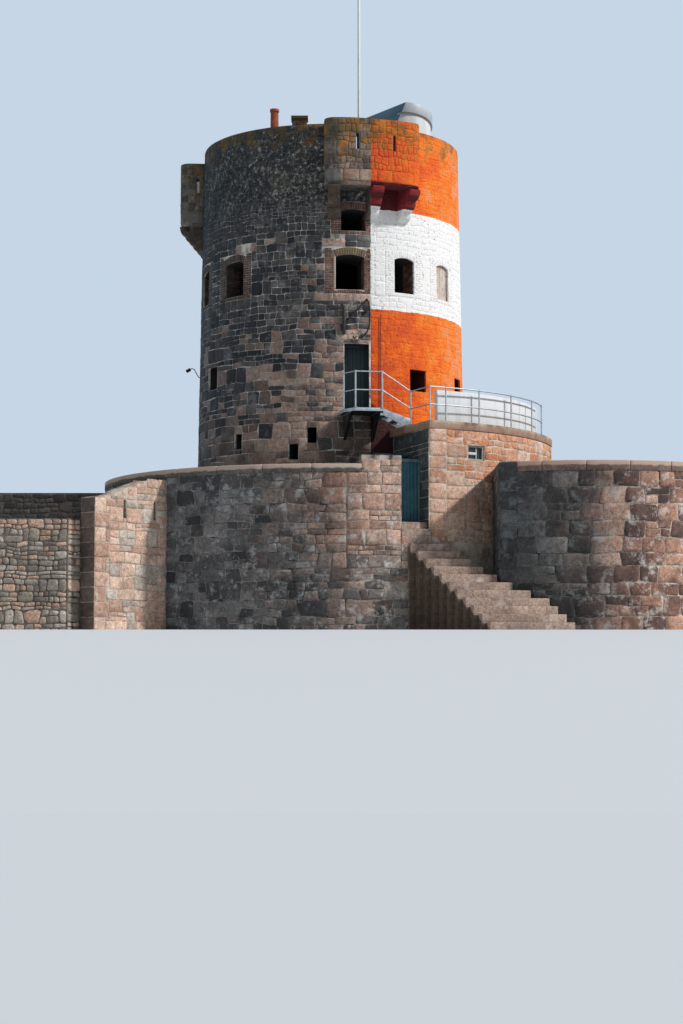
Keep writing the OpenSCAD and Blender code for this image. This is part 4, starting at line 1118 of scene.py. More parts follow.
mach_stone, tree, shader, place, colour = granite(
    "machicolation granite", ["#3a3632", "#504a42", "#685e53", "#7d6f60"],
    ["#8a6c59", "#a58570", "#bc9b84", "#9c826c"], stain="#262624", stain_share=0.6, lime="#b5afa4",
    lime_share=0.45)
colour = painted(tree, shader, place, colour)
lichened_rim(tree, shader, place, colour, 13.9, 15.8, 0.9)
chance = random.Random(61)
stones = Stones(chance)
for bearing, drop in machicolations:
    wrap = machicolation_face(bearing, drop)
    foot = machicolation_level - drop
    round_corner = front_half + corner_run
    end = round_corner + 0.42
    slits = [(-0.61 - slit_wide/2, -0.61 + slit_wide/2), (0.61 - slit_wide/2, 0.61 + slit_wide/2),
             (round_corner + 0.167, round_corner + 0.267), (-round_corner - 0.267, -round_corner - 0.167)]
    gaps = [(left - 0.01, right + 0.01, slit_foot - drop, slit_foot - drop + slit_tall)
            for left, right in slits]
    face_foot = foot + mach_chamfer + 0.01
    for low, high in ((foot + 0.01, face_foot - 0.01), (face_foot, foot + 0.50)):
        stones.lay(wrap, -end, end, low, high, 0.38, (0.42, 0.78), tall=1.0, cut=0.08, joint=0.014,
                   wander=0.0,
                   warm=lambda along, level: (1.0 if chance.random() < 0.85 else 0.4)*(bearing > 0))
    stones.lay(wrap, -end, end, foot + 0.50, rim_level - drop - 0.02, 0.36, (0.18, 0.34), tall=0.12,
               gaps=gaps, joint=0.012, cut=0.2,
               warm=lambda along, level: 0.7*chance.random()*(bearing > 0), wander=0.06)
raise_stones("machicolation_stones", stones, mach_stone, "tower_granite", proud=0.010, fullness=0.003,
             worn_edge=0.008, roughness=0.011, seed=21)

# Each machicolation rests on three corbels of three dressed granite courses with rounded noses, built
# deep into the wall. On the painted side they are white up to the paint line and dark red above it.
corbel_granite, tree, shader, place, colour = granite(
    "dressed corbel granite", ["#54473d", "#6b594b", "#7d6656"], ["#8d6450", "#a3765f"], stain="#2f2b27",
    stain_share=0.4)
painted(tree, shader, place, colour, upper="#8e2226")
for side in ("front", "right", "left"):
    worn_copy("corbels_" + side, "corbels_worn_" + side, corbel_granite, 0.018)

# The floors inside and the fighting platform are of large granite flags, trodden smooth.
flags, tree, shader, place = start_material("trodden granite flags", 0.8, "#8f887e")
plan = add(tree, "Mapping", place, Scale=(1, 1, 0))
laid = add(tree, "TexBrick", plan, Scale=1, Mortar_Size=0.012, Mortar_Smooth=0.3, Bias=0.0, Brick_Width=0.9,
           Row_Height=0.55, Color1="#8c8479", Color2="#9d9488", Mortar="#5f594f", offset=0.43, out=None)
weather = add(tree, "TexNoise", place, Scale=1.6, Detail=6, Roughness=0.65)
moss = add(tree, "MapRange", weather, 0.5, 0.7, To_Max=0.6)
weathered = add(tree, "MixRGB", moss, laid["Color"], "#5d5c4a")
surface(shader, weathered, laid["Fac"], -0.01, 0.6)
dress(flags, "first_floor", "second_floor", "roof_platform")

# The stair head is a modern drum of blockwork with a smooth white render, under a sloping roof of pale
# grey coated sheet whose deep edge leaves a dark shadow gap over the wall. Its front and left side are a
# leaning wall of blue-green tinted glass, which runs up to the roof's edge.
white_render = patchy("smooth white render", 0.75, "#dedfe0", {0.3: "#c6c7c6", 0.5: "#dddedf", 0.7: "#e3e4e5"},
                      4, 6, 0.6, stretch=1/0.15, grit=45, deep=0.002, strength=0.5)[0]
dress(white_render, "stair_head_walls")
roof_sheet = patchy("coated roof sheet", 0.45, "#b4b8bd", {0.35: "#a4a9ae", 0.5: "#b4b8bd", 0.7: "#bec2c6"},
                    2.2, rough=0.6, Specular_IOR_Level=0.5)[0]
glass = patchy("tinted glazing", 0.12, "#1c4a63", {0.35: "#173f57", 0.5: "#235a76", 0.68: "#2f6d86"}, 0.9, 2.0,
               Coat_Weight=0.4)[0]
dress(glass, "stair_head_glazing")
roof = worn_copy("stair_head_roof", "stair_head_roof_sheet", roof_sheet, 0.012)
roof.data.materials.append(glass)


# Direction that looks out along a bearing and up, both in degrees
def direction(bearing, height):
    turn, lift = math.radians(bearing), math.radians(height)
    return Vector((math.sin(turn)*math.cos(lift), -math.cos(turn)*math.cos(lift), math.sin(lift)))


glazing_out = direction(-39.6, 14.1)
for face in roof.data.polygons:
    face.material_index = int(face.normal.dot(glazing_out) > 0.97)

# The flagpole is a plain steel pole in white gloss, on a round foot plate.
pole_paint = patchy("white gloss on steel", 0.5, "#e9e9e6", {0.3: "#dededa", 0.42: "#f0f0ee", 0.7: "#f4f4f2"},
                    8, 4)[0]
dress(pole_paint, "flagpole")

# A rolled-top clay chimney pot and a stub of old brick flue stand on the parapet.
terracotta = patchy("weathered terracotta", 0.85, "#a5502f", {0.32: "#5d3a2a", 0.48: "#a14e2e", 0.7: "#bb6a42"},
                    6, 6, 0.7)[0]
worn_copy("chimney_pot", "rolled_chimney_pot", terracotta, 0.012)

dress(tower_mortar, "chimney_stub")
low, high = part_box("chimney_stub")
stub_lip = 0.04
stub_head = high.z - 0.09
corners = [(low.x + stub_lip, low.y + stub_lip), (high.x - stub_lip, low.y + stub_lip),
           (high.x - stub_lip, high.y - stub_lip), (low.x + stub_lip, high.y - stub_lip)]
chance = random.Random(8)
stones = Stones(chance)
for k in range(4):
    face = flat_face(corners[k], corners[(k + 1) % 4])
    stretchers(stones, face, face.length, low.z + 0.005, int((stub_head - low.z)/brick_course), brick_long/2,
               edge=0.004)
raise_stones("chimney_stub_bricks", stones, window_brick, "tower_granite", seed=14, **brick_relief)

# The landing, its flight and all rails are hot-dip galvanised steel: the deck is bar grating in an angle
# frame on two brackets against the tower, the rails are tube held by clamp fittings on the posts.
landing_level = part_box("landing_deck")[1].z
terrace_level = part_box("guardhouse_roof")[1].z
landing_face = foot_r - batter*landing_level + 0.005
landing_wide = 1.15
landing_deep = 1.25
landing_cut = 0.52
flight_foot_x = 1.45
post_thick = 0.05
rail_thick = 0.042
landing_rail_tall = 1.15
terrace_rail_tall = 1.08
terrace_rail_r = 7.1
terrace_posts = (25.1, 29.6, 40.2, 53, 65.2, 75.5)

galvanised, tree, shader, place = start_material("hot-dip galvanised steel", 0.5, "#b4babe", Metallic=0.7)
spangle = add(tree, "TexVoronoi", place, Scale=1/0.018, out="Color")
flake = add(tree, "SeparateXYZ", spangle, out="X")
dull = add(tree, "TexNoise", place, Scale=6, Detail=5, Roughness=0.6)
mixed = add(tree, "Math MULTIPLY_ADD", flake, 0.35, dull)
zinc = add(tree, "ValToRGB", mixed, stops={0.3: "#8b9297", 0.6: "#aeb5ba", 0.9: "#c6cbce"})
# Painted shade: faces that look down, and the brackets below the deck by the tower, are drawn dark grey
steel_facing = add(tree, "SeparateXYZ", add(tree, "NewGeometry", out="Normal"), out="Z")
underneath = add(tree, "Math LESS_THAN", steel_facing, -0.85)
steel_spot = add(tree, "SeparateXYZ", place, out=None)
below_deck = add(tree, "MapRange", steel_spot["Z"], landing_level - 0.13, landing_level - 0.12, 1.0, 0.0)
by_tower = add(tree, "Math LESS_THAN", steel_spot["X"], 1.58)
bracket = add(tree, "Math MULTIPLY", below_deck, by_tower)
steel_shade = add(tree, "Math MAXIMUM", underneath, bracket)
zinc_with_painted_shade = add(tree, "MixRGB", steel_shade, zinc, "#343c40")
surface(shader, zinc_with_painted_shade)
dress(galvanised, "landing_rail", "terrace_rail")
worn_copy("landing_deck", "landing_frame", galvanised, 0.004)
worn_copy("landing_stair", "landing_flight", galvanised, 0.003)

# Bars of the grating, seen from above; they lie on the deck's frame
angle_frame = 0.03
grating_gaps = 36
grating_bars = []
for k in range(grating_gaps + 1):
    x = -landing_wide/2 + angle_frame + k*(landing_wide - 2*angle_frame)/grating_gaps
    front = landing_face + landing_deep - angle_frame
    if x < -landing_wide/2 + landing_cut/2:
        front -= landing_cut*(1 - (x + landing_wide/2)/(landing_cut/2))
    ends = [along_bearing(door_bearing, x, out, landing_level + 0.0015)
            for out in (landing_face + angle_frame, front)]
    grating_bars.append(bar(ends, 0.006, 1))
bars_piece("landing_grating", grating_bars, galvanised)


# Node tree that stands an upright round fitting on every point
def fitting_tree():
    tree, given = start_tree("round fittings", Thickness=0.06, Height=0.05, Sides=20)
    radius = add(tree, "Math MULTIPLY", given["Thickness"], 0.5)
    sleeve = add(tree, "GeometryNodeMeshCylinder", given["Sides"], Radius=radius, Depth=given["Height"])
    stood = add(tree, "GeometryNodeInstanceOnPoints", Points=given["Geometry"], Instance=sleeve)
    return finish_tree(tree, given, stood)


fitting_nodes = fitting_tree()


# Makes one piece of galvanised fittings, one on every point
def fittings(name, points, thickness, height, sides):
    mesh = bpy.data.meshes.new(name)
    mesh.from_pydata(points, [], [])
    piece = grow(name, mesh, fitting_nodes, {"Thickness": thickness, "Height": height, "Sides": sides,
                                             "Material": galvanised})
    piece.data.set_sharp_from_angle(angle=math.radians(40))
    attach(piece, "building")


landing_out = landing_face + landing_deep - post_thick/2
landing_posts = [(-landing_wide/2 + post_thick/2, landing_face + landing_deep - landing_cut - 0.1),
                 (-landing_wide/2 + landing_cut/2 + 0.02, landing_out),
                 (landing_wide/2 - post_thick/2, landing_out)]
clamps, flanges, bolts = [], [], []
posts = [(door_bearing, x, out, landing_level, landing_rail_tall) for x, out in landing_posts]
posts.append((door_bearing, flight_foot_x, landing_out, terrace_level, terrace_rail_tall))
posts += [(bearing, 0, terrace_rail_r, terrace_level, terrace_rail_tall) for bearing in terrace_posts]
for bearing, x, out, foot, tall in posts:
    clamps += [along_bearing(bearing, x, out, foot + tall*part - rail_thick/2) for part in (1, 0.5)]
    flanges.append(along_bearing(bearing, x, out, foot + 0.006))
for bearing in terrace_posts:
    for x, y in ((0.04, 0.0), (-0.04, 0.0), (0.0, 0.04), (0.0, -0.04)):
        bolts.append(along_bearing(bearing, x, terrace_rail_r - y, terrace_level + 0.014))
fittings("rail_clamps", clamps, 0.064, 0.06, 24)
fittings("post_flanges", flanges, 0.115, 0.012, 28)
fittings("flange_bolts", bolts, 0.018, 0.012, 6)

# The guardhouse is built of large dressed blocks of peach granite with wide joints pointed in pale lime.
guard_end = 80.0
guard_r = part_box("guardhouse_front_wall")[1].x/math.sin(math.radians(guard_end))
guard_wall_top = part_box("guardhouse_front_wall")[1].z
guard_wall_thick = 0.6
guard_foot = 2.75
guard_joint = 0.032
squared_relief = {"proud": 0.010, "fullness": 0.004, "worn_edge": 0.008, "roughness": 0.008}
guard_window = (37.3, 0.68, 5.30, 0.45)

peach_granite, tree, shader, place, colour = granite(
    "dressed peach granite", ["#b8704c", "#d28c63", "#dfa078", "#cc9172", "#e2b08b"],
    ["#b98f78", "#cfab96", "#e0c3ae"], stain="#7a573f", stain_share=0.5, lime="#e0d2c2", lime_share=0.55)
guard_mortar = mortar("pale lime pointing", "#ddd0c0", "#9c8672", 0.5)[0]
dress(guard_mortar, "guardhouse_front_wall", "guardhouse_side_wall", "guardhouse_end_wall")
# The wall along the gateway never sees the sun: the same granite, damp and grown over grey-green, and drawn
# darker still as painted shade
damp_and_shaded_granite = granite("damp shaded granite", ["#2f3a3a", "#3d4847", "#4a5351", "#59605c"],
                       ["#574d45", "#6b5f55"], stain="#1b2324", stain_share=0.7, lime="#7d8680",
                       lime_share=0.5)[0]

chance = random.Random(73)
stones = Stones(chance)
guard_face = round_face(lambda level: guard_r, guard_r)
side_x = gate_half_way + guard_wall_thick
window_at = arc(guard_window[0], guard_r)
window_gap = (window_at - guard_window[1]/2 - 0.01, window_at + guard_window[1]/2 + 0.01, guard_window[2],
              guard_window[2] + guard_window[3])
lintel_block = (window_gap[0] - 0.16, window_gap[1] + 0.14, window_gap[3] + 0.01, window_gap[3] + 0.2)
sill_block = (window_gap[0] - 0.1, window_gap[1] + 0.12, window_gap[2] - 0.16, window_gap[2] - 0.01)
side_edge = (math.radians(gate_bearing) + math.asin(side_x/guard_r))*guard_r
stones.lay(guard_face, side_edge, arc(guard_end, guard_r), guard_foot, guard_wall_top, 0.42, (0.4, 0.85),
           tall=0.55, joint=guard_joint, cut=0.13, gaps=[window_gap, lintel_block, sill_block], wander=0.03,
           warm=lambda along, level: 0.95 if level < 4.6 or chance.random() < 0.25 else 0.1)
for block in (lintel_block, sill_block):
    stones.block(guard_face, *block, cut=0.05, warm=0.2)
wall_inside = 4.47
gateway_inner, gateway_outer, pier_right_end = (along_bearing(gate_bearing, side, out) for side, out in (
    (gate_half_way, wall_inside), (gate_half_way, guard_r - 0.03), (side_x, guard_r - 0.03)))
stones.lay(flat_face(gateway_outer, pier_right_end), 0.01, guard_wall_thick - 0.01, guard_foot, guard_wall_top,
           0.43, (0.5, 0.7), tall=1.0, joint=guard_joint, cut=0.07, wander=0, warm=lambda along, level: 0.7)
shaded = Stones(chance)
face = flat_face(gateway_inner, gateway_outer)
shaded.lay(face, 0.02, face.length - 0.01, 2.95, guard_wall_top, 0.43, (0.5, 0.95), tall=0.8, joint=0.02,
           cut=0.1, wander=0.02)
face = flat_face(*(along_bearing(guard_end, 0, out) for out in (guard_r - 0.02, wall_inside)))
stones.lay(face, 0, face.length, yard_level + 0.01, guard_wall_top, 0.43, (0.5, 0.95), tall=0.8,
           joint=guard_joint, cut=0.07, wander=0.01)
for name, laid, material in (("guardhouse_blocks", stones, peach_granite),
                             ("gateway_wall_blocks", shaded, damp_and_shaded_granite)):
    raise_stones(name, laid, material, "guardhouse_granite", seed=31, **squared_relief)

# Its window is a small fixed light in a pale weathered timber frame, with one white glazing bar.
frame_paint = patchy("weathered cream paint on pine", 0.7, "#a9a294",
                     {0.38: "#8a8478", 0.55: "#b5ad9f", 0.7: "#c4bdb0"}, 22.0, 6.0, 0.7)[0]
bearing, wide, sill, tall = guard_window
frame_out = guard_r*math.cos(math.asin(wide/2/guard_r)) - 0.03
half = wide/2
head = sill + tall
frame_boxes = [(x0, x1, frame_out - 0.09, frame_out, z0 + 0.002, z1 - 0.002) for x0, x1, z0, z1 in (
    (-half + 0.002, -half + 0.055, sill, head), (half - 0.055, half - 0.002, sill, head),
    (-half + 0.055, half - 0.055, sill, sill + 0.05), (-half + 0.055, half - 0.055, head - 0.05, head))]
box_piece("guardhouse_window_frame", bearing, frame_boxes, frame_paint)
white_bar = patchy("white glazing bar", 0.5, "#dcdcd8", {0.4: "#bfc0bc", 0.6: "#dedfdb"}, 30, 4)[0]
bar_boxes = [(-half + 0.05, 0.08, frame_out - 0.08, frame_out - 0.03, sill + 0.17, sill + 0.25),
             (0.05, 0.08, frame_out - 0.07, frame_out - 0.04, sill + 0.05, head - 0.05)]
box_piece("guardhouse_window_bars", bearing, bar_boxes, white_bar)
dark_glass = patchy("dusty window glass", 0.2, "#12201f", {0.4: "#0f1b1b", 0.7: "#27383a"}, 5)[0]
pane = (-half + 0.05, half - 0.05, frame_out - 0.078, frame_out - 0.072, sill + 0.045, head - 0.045)
box_piece("guardhouse_window_glass", bearing, [pane], dark_glass, edge=0)

# The terrace over it is a cast slab with a worn, stained edge, and a plain white rendered parapet
# stands on it between the rail and the tower.
cast_slab, tree, shader, place, slab_colour = patchy(
    "weathered cast slab", 0.9, "#a8988a", {0.34: "#6d5c50", 0.48: "#a18d7c", 0.7: "#c4b3a3"}, 2.4, 7.0, 0.7,
    grit=1/0.015, deep=0.005)
slab_spot = add(tree, "SeparateXYZ", place, out="Z")
slab_edge = add(tree, "MapRange", slab_spot, terrace_level - 0.08, terrace_level - 0.07, 0.55, 0.0)
slab_side = add(tree, "MixRGB", slab_edge, slab_colour, "#a0745c")
surface(shader, slab_side)
worn_copy("guardhouse_roof", "terrace_slab", cast_slab, 0.02)
worn_copy("terrace_parapet", "terrace_parapet_render", white_render, 0.015)

# The gate is a ledged and braced leaf of upright boards, hung on two forged pins. It is painted teal, the
# posts and the lintel over it in an older, paler grey-green, and a short canopy keeps rain off.
gate_paint = board_paint("faded teal paint on boards", "#1d4a58", "#2f6572", 0.55, dust="#5d838b")
post_paint = board_paint("weathered grey-green paint", "#48656b", "#6b8488", 0.65, dust="#8f9a97")
low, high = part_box("gate_leaf")
leaf_foot, leaf_head = low.z, high.z
leaf_half = 0.414
leaf_out = 6.6
leaf_thick = 0.06
dress(gate_paint, "gate_leaf")
dress(post_paint, "gate_frame")
dress(gate_paint, "gate_canopy")
gate_boxes = boards(-leaf_half + 0.003, leaf_half - 0.003, leaf_out - 0.002, leaf_out + 0.011,
                    leaf_foot + 0.004, leaf_head - 0.004, random.Random(17), wide=0.115)
box_piece("gate_boards", gate_bearing, gate_boxes, gate_paint, body="gate")
shape = bmesh.new()
ledge_back = leaf_out - leaf_thick - 0.02
for level in (leaf_foot + 0.12, leaf_foot + 0.87, leaf_head - 0.22):
    bearing_box(shape, gate_bearing, -leaf_half + 0.02, leaf_half - 0.06, ledge_back, ledge_back + 0.022, level,
                level + 0.1)
brace_run = Vector((leaf_half*2 - 0.16, 0, 0.62))
for foot in (leaf_foot + 0.235, leaf_foot + 0.985):
    made = bearing_box(shape, 0, -0.4, 0.4, 0, 0.02, -0.045, 0.045)
    brace_turn = Matrix.Rotation(-math.atan2(brace_run.z*0.95, brace_run.x), 4, "Y")
    place_brace = Matrix.Rotation(math.radians(gate_bearing), 4, "Z") @ Matrix.Translation(
        (-0.02, -ledge_back, foot + brace_run.z/2)) @ brace_turn
    bmesh.ops.transform(shape, matrix=place_brace, verts=made)
finish_piece("gate_ledges", shape, gate_paint, edge=0.003, body="gate")

# The two steps in the gateway and the flight below it are long dressed granite blocks, pale pink, their
# noses rounded by use. Each tread is three or four blocks end to end.
flight_turn = math.radians(15)
flight_steps = 12
flight_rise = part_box("stone_steps")[1].z/flight_steps
flight_going = 0.32
flight_start = -7.32
block_run = 1.15


# Granite in blocks that keep to the steps: joints between them, a tone of its own for each, lime on top
def tread_stone(name, base, pale, dark, line, damp_and_shade_share):
    made, tree, shader, place, colour = granite(name, base, base, stain=dark, stain_share=0.55, bump_mm=6)
    turned = add(tree, "VectorRotate", place, Angle=-flight_turn, rotation_type="Z_AXIS")
    spot = add(tree, "SeparateXYZ", turned, out=None)
    row = add(tree, "Math SUBTRACT", spot["Z"], 0.006)
    row_at = add(tree, "Math DIVIDE", row, flight_rise)
    row = add(tree, "Math FLOOR", row_at)
    shift = add(tree, "Math MULTIPLY_ADD", row, 0.43, spot["X"])
    along = add(tree, "Math DIVIDE", shift, block_run)
    number = add(tree, "Math FLOOR", along)
    part = add(tree, "Math FRACT", along)
    butt = add(tree, "Math LESS_THAN", part, 0.012/block_run)
    rise = add(tree, "Math FRACT", row_at)
    bed = add(tree, "Math LESS_THAN", rise, 0.045)
    joint = add(tree, "Math MAXIMUM", butt, bed)
    cell = add(tree, "CombineXYZ", number, row)
    own = add(tree, "TexWhiteNoise", cell, noise_dimensions="2D")
    light = add(tree, "MapRange", own, To_Min=0.82, To_Max=1.12)
    toned = add(tree, "MixRGB MULTIPLY", 1.0, colour, light)
    lime = add(tree, "TexNoise", place, Scale=1.4, Detail=7, Roughness=0.7)
    lime_share = add(tree, "MapRange", lime, 0.54, 0.68, To_Max=0.65)
    limed = add(tree, "MixRGB", lime_share, toned, pale)
    final = add(tree, "MixRGB", joint, limed, line)
    # Below each tread the flank is drawn darker: damp, and painted shade under the tread
    own_top = add(tree, "Math MULTIPLY_ADD", spot["Y"], flight_rise/flight_going,
                  flight_steps*flight_rise - flight_start*flight_rise/flight_going)
    buried = add(tree, "Math SUBTRACT", own_top, spot["Z"])
    damp_and_shade = add(tree, "MapRange", buried, flight_rise + 0.015, flight_rise + 0.05, To_Max=damp_and_shade_share)
    final = add(tree, "MixRGB MULTIPLY", damp_and_shade, final, "#8d887e")
    surface(shader, final)
    return made


step_colours = ["#a88f80", "#c0a492", "#d2b8a5"], "#ddd3c7", "#5d4c42", "#7a685b"
for node, name, title, damp_and_shade_share in (("stone_steps", "shore_steps", "worn pink granite treads", 1.0),
                                      ("gate_steps", "gateway_steps", "worn pink granite gate steps", 0.0)):
    worn_copy(node, name, tread_stone(title, *step_colours, damp_and_shade_share), 0.016)

# The gun platform right of the steps has a wall of large red-brown granite blocks in courses, smeared
# with old lime, and a return wall that closes it towards the steps; both are backed with rubble.
bastion_centre = (7.8, -2.4)
bastion_out = 6.2
bastion_in = 5.3
bastion_left = 5.0
return_right = 5.5
bastion_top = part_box("bastion_front_wall")[1].z
return_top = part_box("bastion_return_wall")[1].z
bastion_joint = 0.03

# Its left end, beside the steps, is stained dark
bastion_tints = {0.0: "#7f8889", 0.4: "#969d9f", 0.55: "#c6c4c4", 0.8: "#f4f4f4", 1.0: "#ffffff"}
bastion_mortar, tree, shader, place, colour = mortar("smeared lime mortar", "#d8c9ba", "#4f4239")
tint_across(tree, shader, place, 5.5, 10.2, bastion_tints, 0.25)
bastion_stone, tree, shader, place, colour = granite(
    "red-brown granite", ["#54403a", "#7b574b", "#9c6f5d", "#b88872"], ["#b98b74", "#d0a187", "#ddb59c"],
    stain="#2b2523", stain_share=0.85, lime="#e2d9cf", lime_share=0.7)
tint_across(tree, shader, place, 5.5, 10.2, bastion_tints, 0.25)
dress(bastion_mortar, "bastion_front_wall", "bastion_side_wall", "bastion_return_wall")


# One block in four is pink and the rest are red-brown
def some_pink(along, level):
    return 1.0 if chance.random() < 0.25 else 0.15*chance.random()


bastion_laid = {"joint": bastion_joint, "warm": some_pink}
chance = random.Random(83)
bastion_face = round_face(lambda level: bastion_out, bastion_out, centre=bastion_centre)
front_start = math.asin((return_right - bastion_centre[0])/bastion_out)*bastion_out
return_start = math.asin((bastion_left - bastion_centre[0])/bastion_out)*bastion_out
back_end = arc(190, bastion_out)
stones = Stones(chance)
stones.lay(bastion_face, return_start + 0.01, front_start, 0, return_top - 0.02, 0.46, (0.5, 0.7), tall=1.0,
           cut=0.08, wander=0, **bastion_laid)
front_end = arc(80, bastion_out)
stones.lay(bastion_face, front_start, front_end, 0, bastion_top, 0.46, (0.45, 0.95), tall=0.82, cut=0.14,
           wander=0.04, **bastion_laid)
raise_stones("bastion_front_blocks", stones, bastion_stone, "bastion_granite", seed=41, **ring_relief)
stones = Stones(chance)
stones.lay(bastion_face, front_end, back_end, 0, bastion_top, 0.46, (0.45, 0.95), tall=0.82, cut=0.14,
           wander=0.04, **bastion_laid)
raise_stones("bastion_side_blocks", stones, bastion_stone, "bastion_granite", seed=42, **ring_relief)
stones = Stones(chance)
bastion_inside = round_face(lambda level: bastion_in, bastion_in, centre=bastion_centre, side=-1)
inside_end = math.asin((bastion_centre[0] - return_right)/bastion_in)*bastion_in
stones.lay(bastion_inside, -arc(188, bastion_in), inside_end, yard_level, bastion_top, 0.40, (0.45, 0.8),
           tall=0.6, cut=0.1, **bastion_laid)
return_back = -math.sqrt(guard_r**2 - bastion_left**2)
return_front = bastion_centre[1] - math.sqrt(bastion_out**2 - (bastion_left - bastion_centre[0])**2)
inner_back = -math.sqrt(guard_r**2 - return_right**2)
inner_front = bastion_centre[1] - math.sqrt(bastion_in**2 - (return_right - bastion_centre[0])**2)
stones.lay(flat_face((bastion_left, return_back), (bastion_left, return_front)), 0.02,
           return_back - return_front - 0.02, 0, return_top - 0.02, 0.42, (0.5, 0.85), tall=0.8, cut=0.08,
           wander=0, **bastion_laid)
stones.lay(flat_face((return_right, inner_front), (return_right, inner_back)), 0.02,
           inner_back - inner_front - 0.02, yard_level, return_top - 0.02, 0.42, (0.5, 0.85), tall=0.8,
           cut=0.08, **bastion_laid)
raise_stones("bastion_return_blocks", stones, bastion_stone, "bastion_granite", seed=43, **ring_relief)
bastion_cap = coping_granite("rosy granite coping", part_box("bastion_coping")[1].z, ["#7d645a", "#967b6d"],
                             "#c9ad9b")
worn_copy("bastion_coping", "bastion_coping_stones", bastion_cap, coping_edge)

# The wing wall left of the battery is a free wall of coursed pink granite, with large quoins at its
# outer end and two musket slits; its top steps down outwards.
wing_reach = 10.3
wing_start = 7.52
wing_slits = (7.975, 9.155)
wing_slit = (0.09, 3.46, 0.54)
wing_tops = ((7.5, 8.3, 4.70), (8.3, 8.7, 4.56), (8.7, 9.05, 4.42), (9.05, 9.4, 4.25), (9.4, 9.7, 4.13),
             (9.7, 10.3, 4.04))
wing_joint = 0.028
wing_mortar = mortar("pale coarse mortar", "#cdbcab", "#7d6a5c")[0]
wing_stone = granite(
    "coursed pink granite", ["#a98470", "#c09a85", "#d3af99", "#dcbda8"], ["#9c8c80", "#b3a497", "#c7baad"],
    stain="#6b5548", stain_share=0.6, lime="#ded0c3", lime_share=0.6)[0]
dress(wing_mortar, "wing_wall")
out = Vector((math.sin(math.radians(wing_bearing)), -math.cos(math.radians(wing_bearing))))
across = Vector((-out.y, out.x))
right_side = -across if across.x < 0 else across
quoins = 9
quoin_wide = 0.42
quoin_high = 0.448
half_joint = 0.012
chance = random.Random(97)
stones = Stones(chance)
run = wing_reach - wing_start
for side in (1, -1):
    feet = [out*r + right_side*wing_half*side for r in (wing_reach, wing_start)]
    face = flat_face(*(feet if side > 0 else feet[::-1]))
    at = (lambda r: wing_reach - r) if side > 0 else (lambda r: r - wing_start)
    gaps = []
    for left, right, top in wing_tops:
        gaps.append((*sorted((at(left), at(right))), top - 0.01, 6.0))
    for slit in wing_slits:
        gaps.append((at(slit) - wing_slit[0]/2 - 0.01, at(slit) + wing_slit[0]/2 + 0.01, wing_slit[1],
                     wing_slit[1] + wing_slit[2]))
    quoin = (0.0, quoin_wide) if side > 0 else (run - quoin_wide, run)
    for k in range(quoins):
        longer = 0.14 if k % 2 else 0.0
        ends = (quoin[0], quoin[1] + longer) if side > 0 else (quoin[0] - longer, quoin[1])
        stones.block(face, ends[0] + half_joint, ends[1] - half_joint, k*quoin_high + half_joint,
                     (k + 1)*quoin_high - half_joint, cut=0.05)
        gaps.append((*ends, k*quoin_high, (k + 1)*quoin_high))
    stones.lay(face, 0, run, 0, 4.72, 0.337, (0.34, 0.66), tall=0.75, gaps=gaps, joint=wing_joint,
               cut=0.12, warm=lambda along, level: 1.0 if chance.random() < 0.22 else 0.0, wander=0.03)
# The end face is in the shade all day: its stones are a darker copy of the pink granite, painted shade
shaded_wing_stone = granite("shaded pink granite", ["#54473f", "#64554b", "#746357"],
                            ["#6b6159", "#7a6f66"], stain="#2f2a27", stain_share=0.7, lime="#958a80")[0]
wing_corner = out*wing_reach - right_side*wing_half
face = flat_face(wing_corner, out*wing_reach + right_side*wing_half)
end_stones = Stones(chance)
for k in range(quoins):
    end_stones.block(face, half_joint, wing_half*2 - half_joint, k*quoin_high + half_joint,
                     (k + 1)*quoin_high - half_joint, cut=0.05)
for name, laid, material in (("wing_wall_blocks", stones, wing_stone),
                             ("wing_wall_end", end_stones, shaded_wing_stone)):
    raise_stones(name, laid, material, "wing_granite", seed=51, **squared_relief)

# Left of it a low wall and, further back, a tall one are of rough field stones in a lot of dark mortar.
field_mortar = mortar("dark earthy mortar", "#7d7367", "#3f3a35")[0]
field_stone = granite("rough field stone", ["#7d7368", "#988c7e", "#b0a495", "#c2b6a7"],
                      ["#b38f7b", "#c9a690", "#d8b8a3"], stain="#3a3733", stain_share=0.6)[0]
# The tall wall further back stands in the shade: its stones are a darker copy of the field stone, painted shade
dark_field_stone = granite("shaded field stone", ["#2d2f31", "#3b3c3d", "#4a4846", "#57524d"],
                           ["#5b4d45", "#6b5b51"], stain="#1f2022", stain_share=0.6, lime="#77736d")[0]
left_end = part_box("rubble_wall")[0].x
dress(field_mortar, "rubble_wall", "far_wall")
low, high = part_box("rubble_wall")
lap = wing_half*math.sqrt(2)
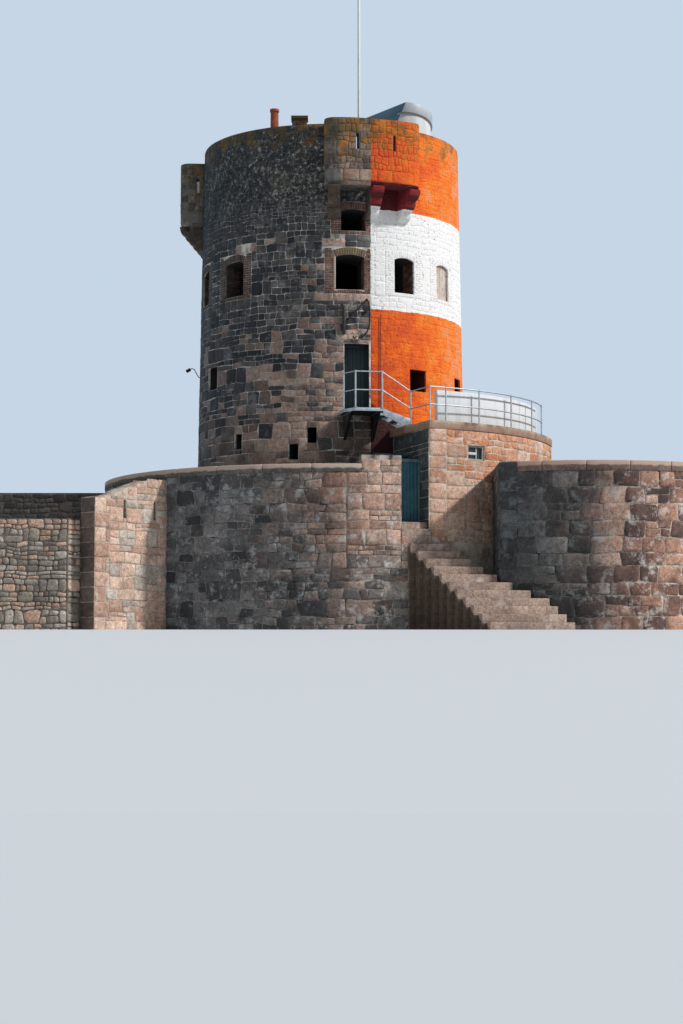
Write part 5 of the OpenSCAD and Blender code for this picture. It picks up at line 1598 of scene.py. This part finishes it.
# The wall's cut end slopes back to the wing wall's corner
stones = Stones(chance)
for start, end in (((left_end, low.y), (low.y - lap, low.y)), ((low.y - lap, low.y), wing_corner),
                   ((high.y - lap, high.y), (left_end, high.y))):
    face = flat_face(start, end)
    stones.lay(face, 0.01, face.length - 0.02, 0, high.z - 0.02, 0.3, (0.22, 0.5), tall=0.4, cut=0.32,
               joint=0.03, wander=0.05,
               warm=lambda along, level: 1.0 if level > 3.1 or chance.random() < 0.2 else 0.0)
rubble_relief = {"proud": 0.012, "worn_edge": 0.010}
raise_stones("rubble_wall_stones", stones, field_stone, "battery_granite", seed=52, **rubble_relief)
low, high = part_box("far_wall")
stones = Stones(chance)
for y, order in ((low.y, 1), (high.y, -1)):
    meet = -math.sqrt(ring_out**2 - y*y) - 0.02
    start, end = ((left_end, y), (meet, y))[::order]
    stones.lay(flat_face(start, end), 0.01, abs(meet - left_end) - 0.02, 0, high.z - 0.02, 0.32, (0.24, 0.5),
               tall=0.4, cut=0.3, joint=0.02, warm=lambda along, level: 0.4*chance.random(), wander=0.05)
raise_stones("far_wall_stones", stones, dark_field_stone, "battery_granite", seed=53, **rubble_relief)

# Out of the object: a plain pale floor that falls away towards the camera as the shore does, a pale
# sky, one soft lamp from the right where the sun stood, and fill light from all round.
floor_colour = "#cfd3d6"
sky_colour = "#c6d6e6"
floor_material = start_material("studio floor", 0.9, floor_colour)[0]
outline = [(-60, -11, 0), (60, -11, 0), (60, -45, -2.9), (-60, -45, -2.9), (-60, -80, -2.9), (60, -80, -2.9),
           (60, 90, 0), (-60, 90, 0)]
floor_mesh = bpy.data.meshes.new("floor")
floor_mesh.from_pydata(outline, [], [(0, 3, 2, 1), (3, 4, 5, 2), (0, 1, 6, 7)])
floor_mesh.materials.append(floor_material)
floor = put("floor", floor_mesh)

sun_bearing = 75
sun_height = 41
sun = put("sun", bpy.data.lights.new("sun", "SUN"))
sun.data.energy = 3.2
sun.data.angle = math.radians(4)
sun.rotation_euler = direction(sun_bearing, sun_height).to_track_quat("Z", "Y").to_euler()

world = bpy.data.worlds.new("sky")
bpy.context.scene.world = world
world.use_nodes = True
tree = world.node_tree
fill = tree.nodes["Background"]
fill.inputs["Color"].default_value = linear("#dfe6ee")
fill.inputs["Strength"].default_value = 0.40
backdrop = add(tree, "Background", Color=sky_colour, Strength=1.0)
ray = add(tree, "LightPath", out=None)
seen = add(tree, "Math MAXIMUM", ray["Is Camera Ray"], ray["Is Glossy Ray"])
seen = add(tree, "Math MAXIMUM", seen, ray["Is Transmission Ray"])
shown = add(tree, "MixShader", seen, fill.outputs[0], backdrop)
tree.links.new(shown, tree.nodes["World Output"].inputs["Surface"])

bpy.context.scene.view_settings.view_transform = "Standard"
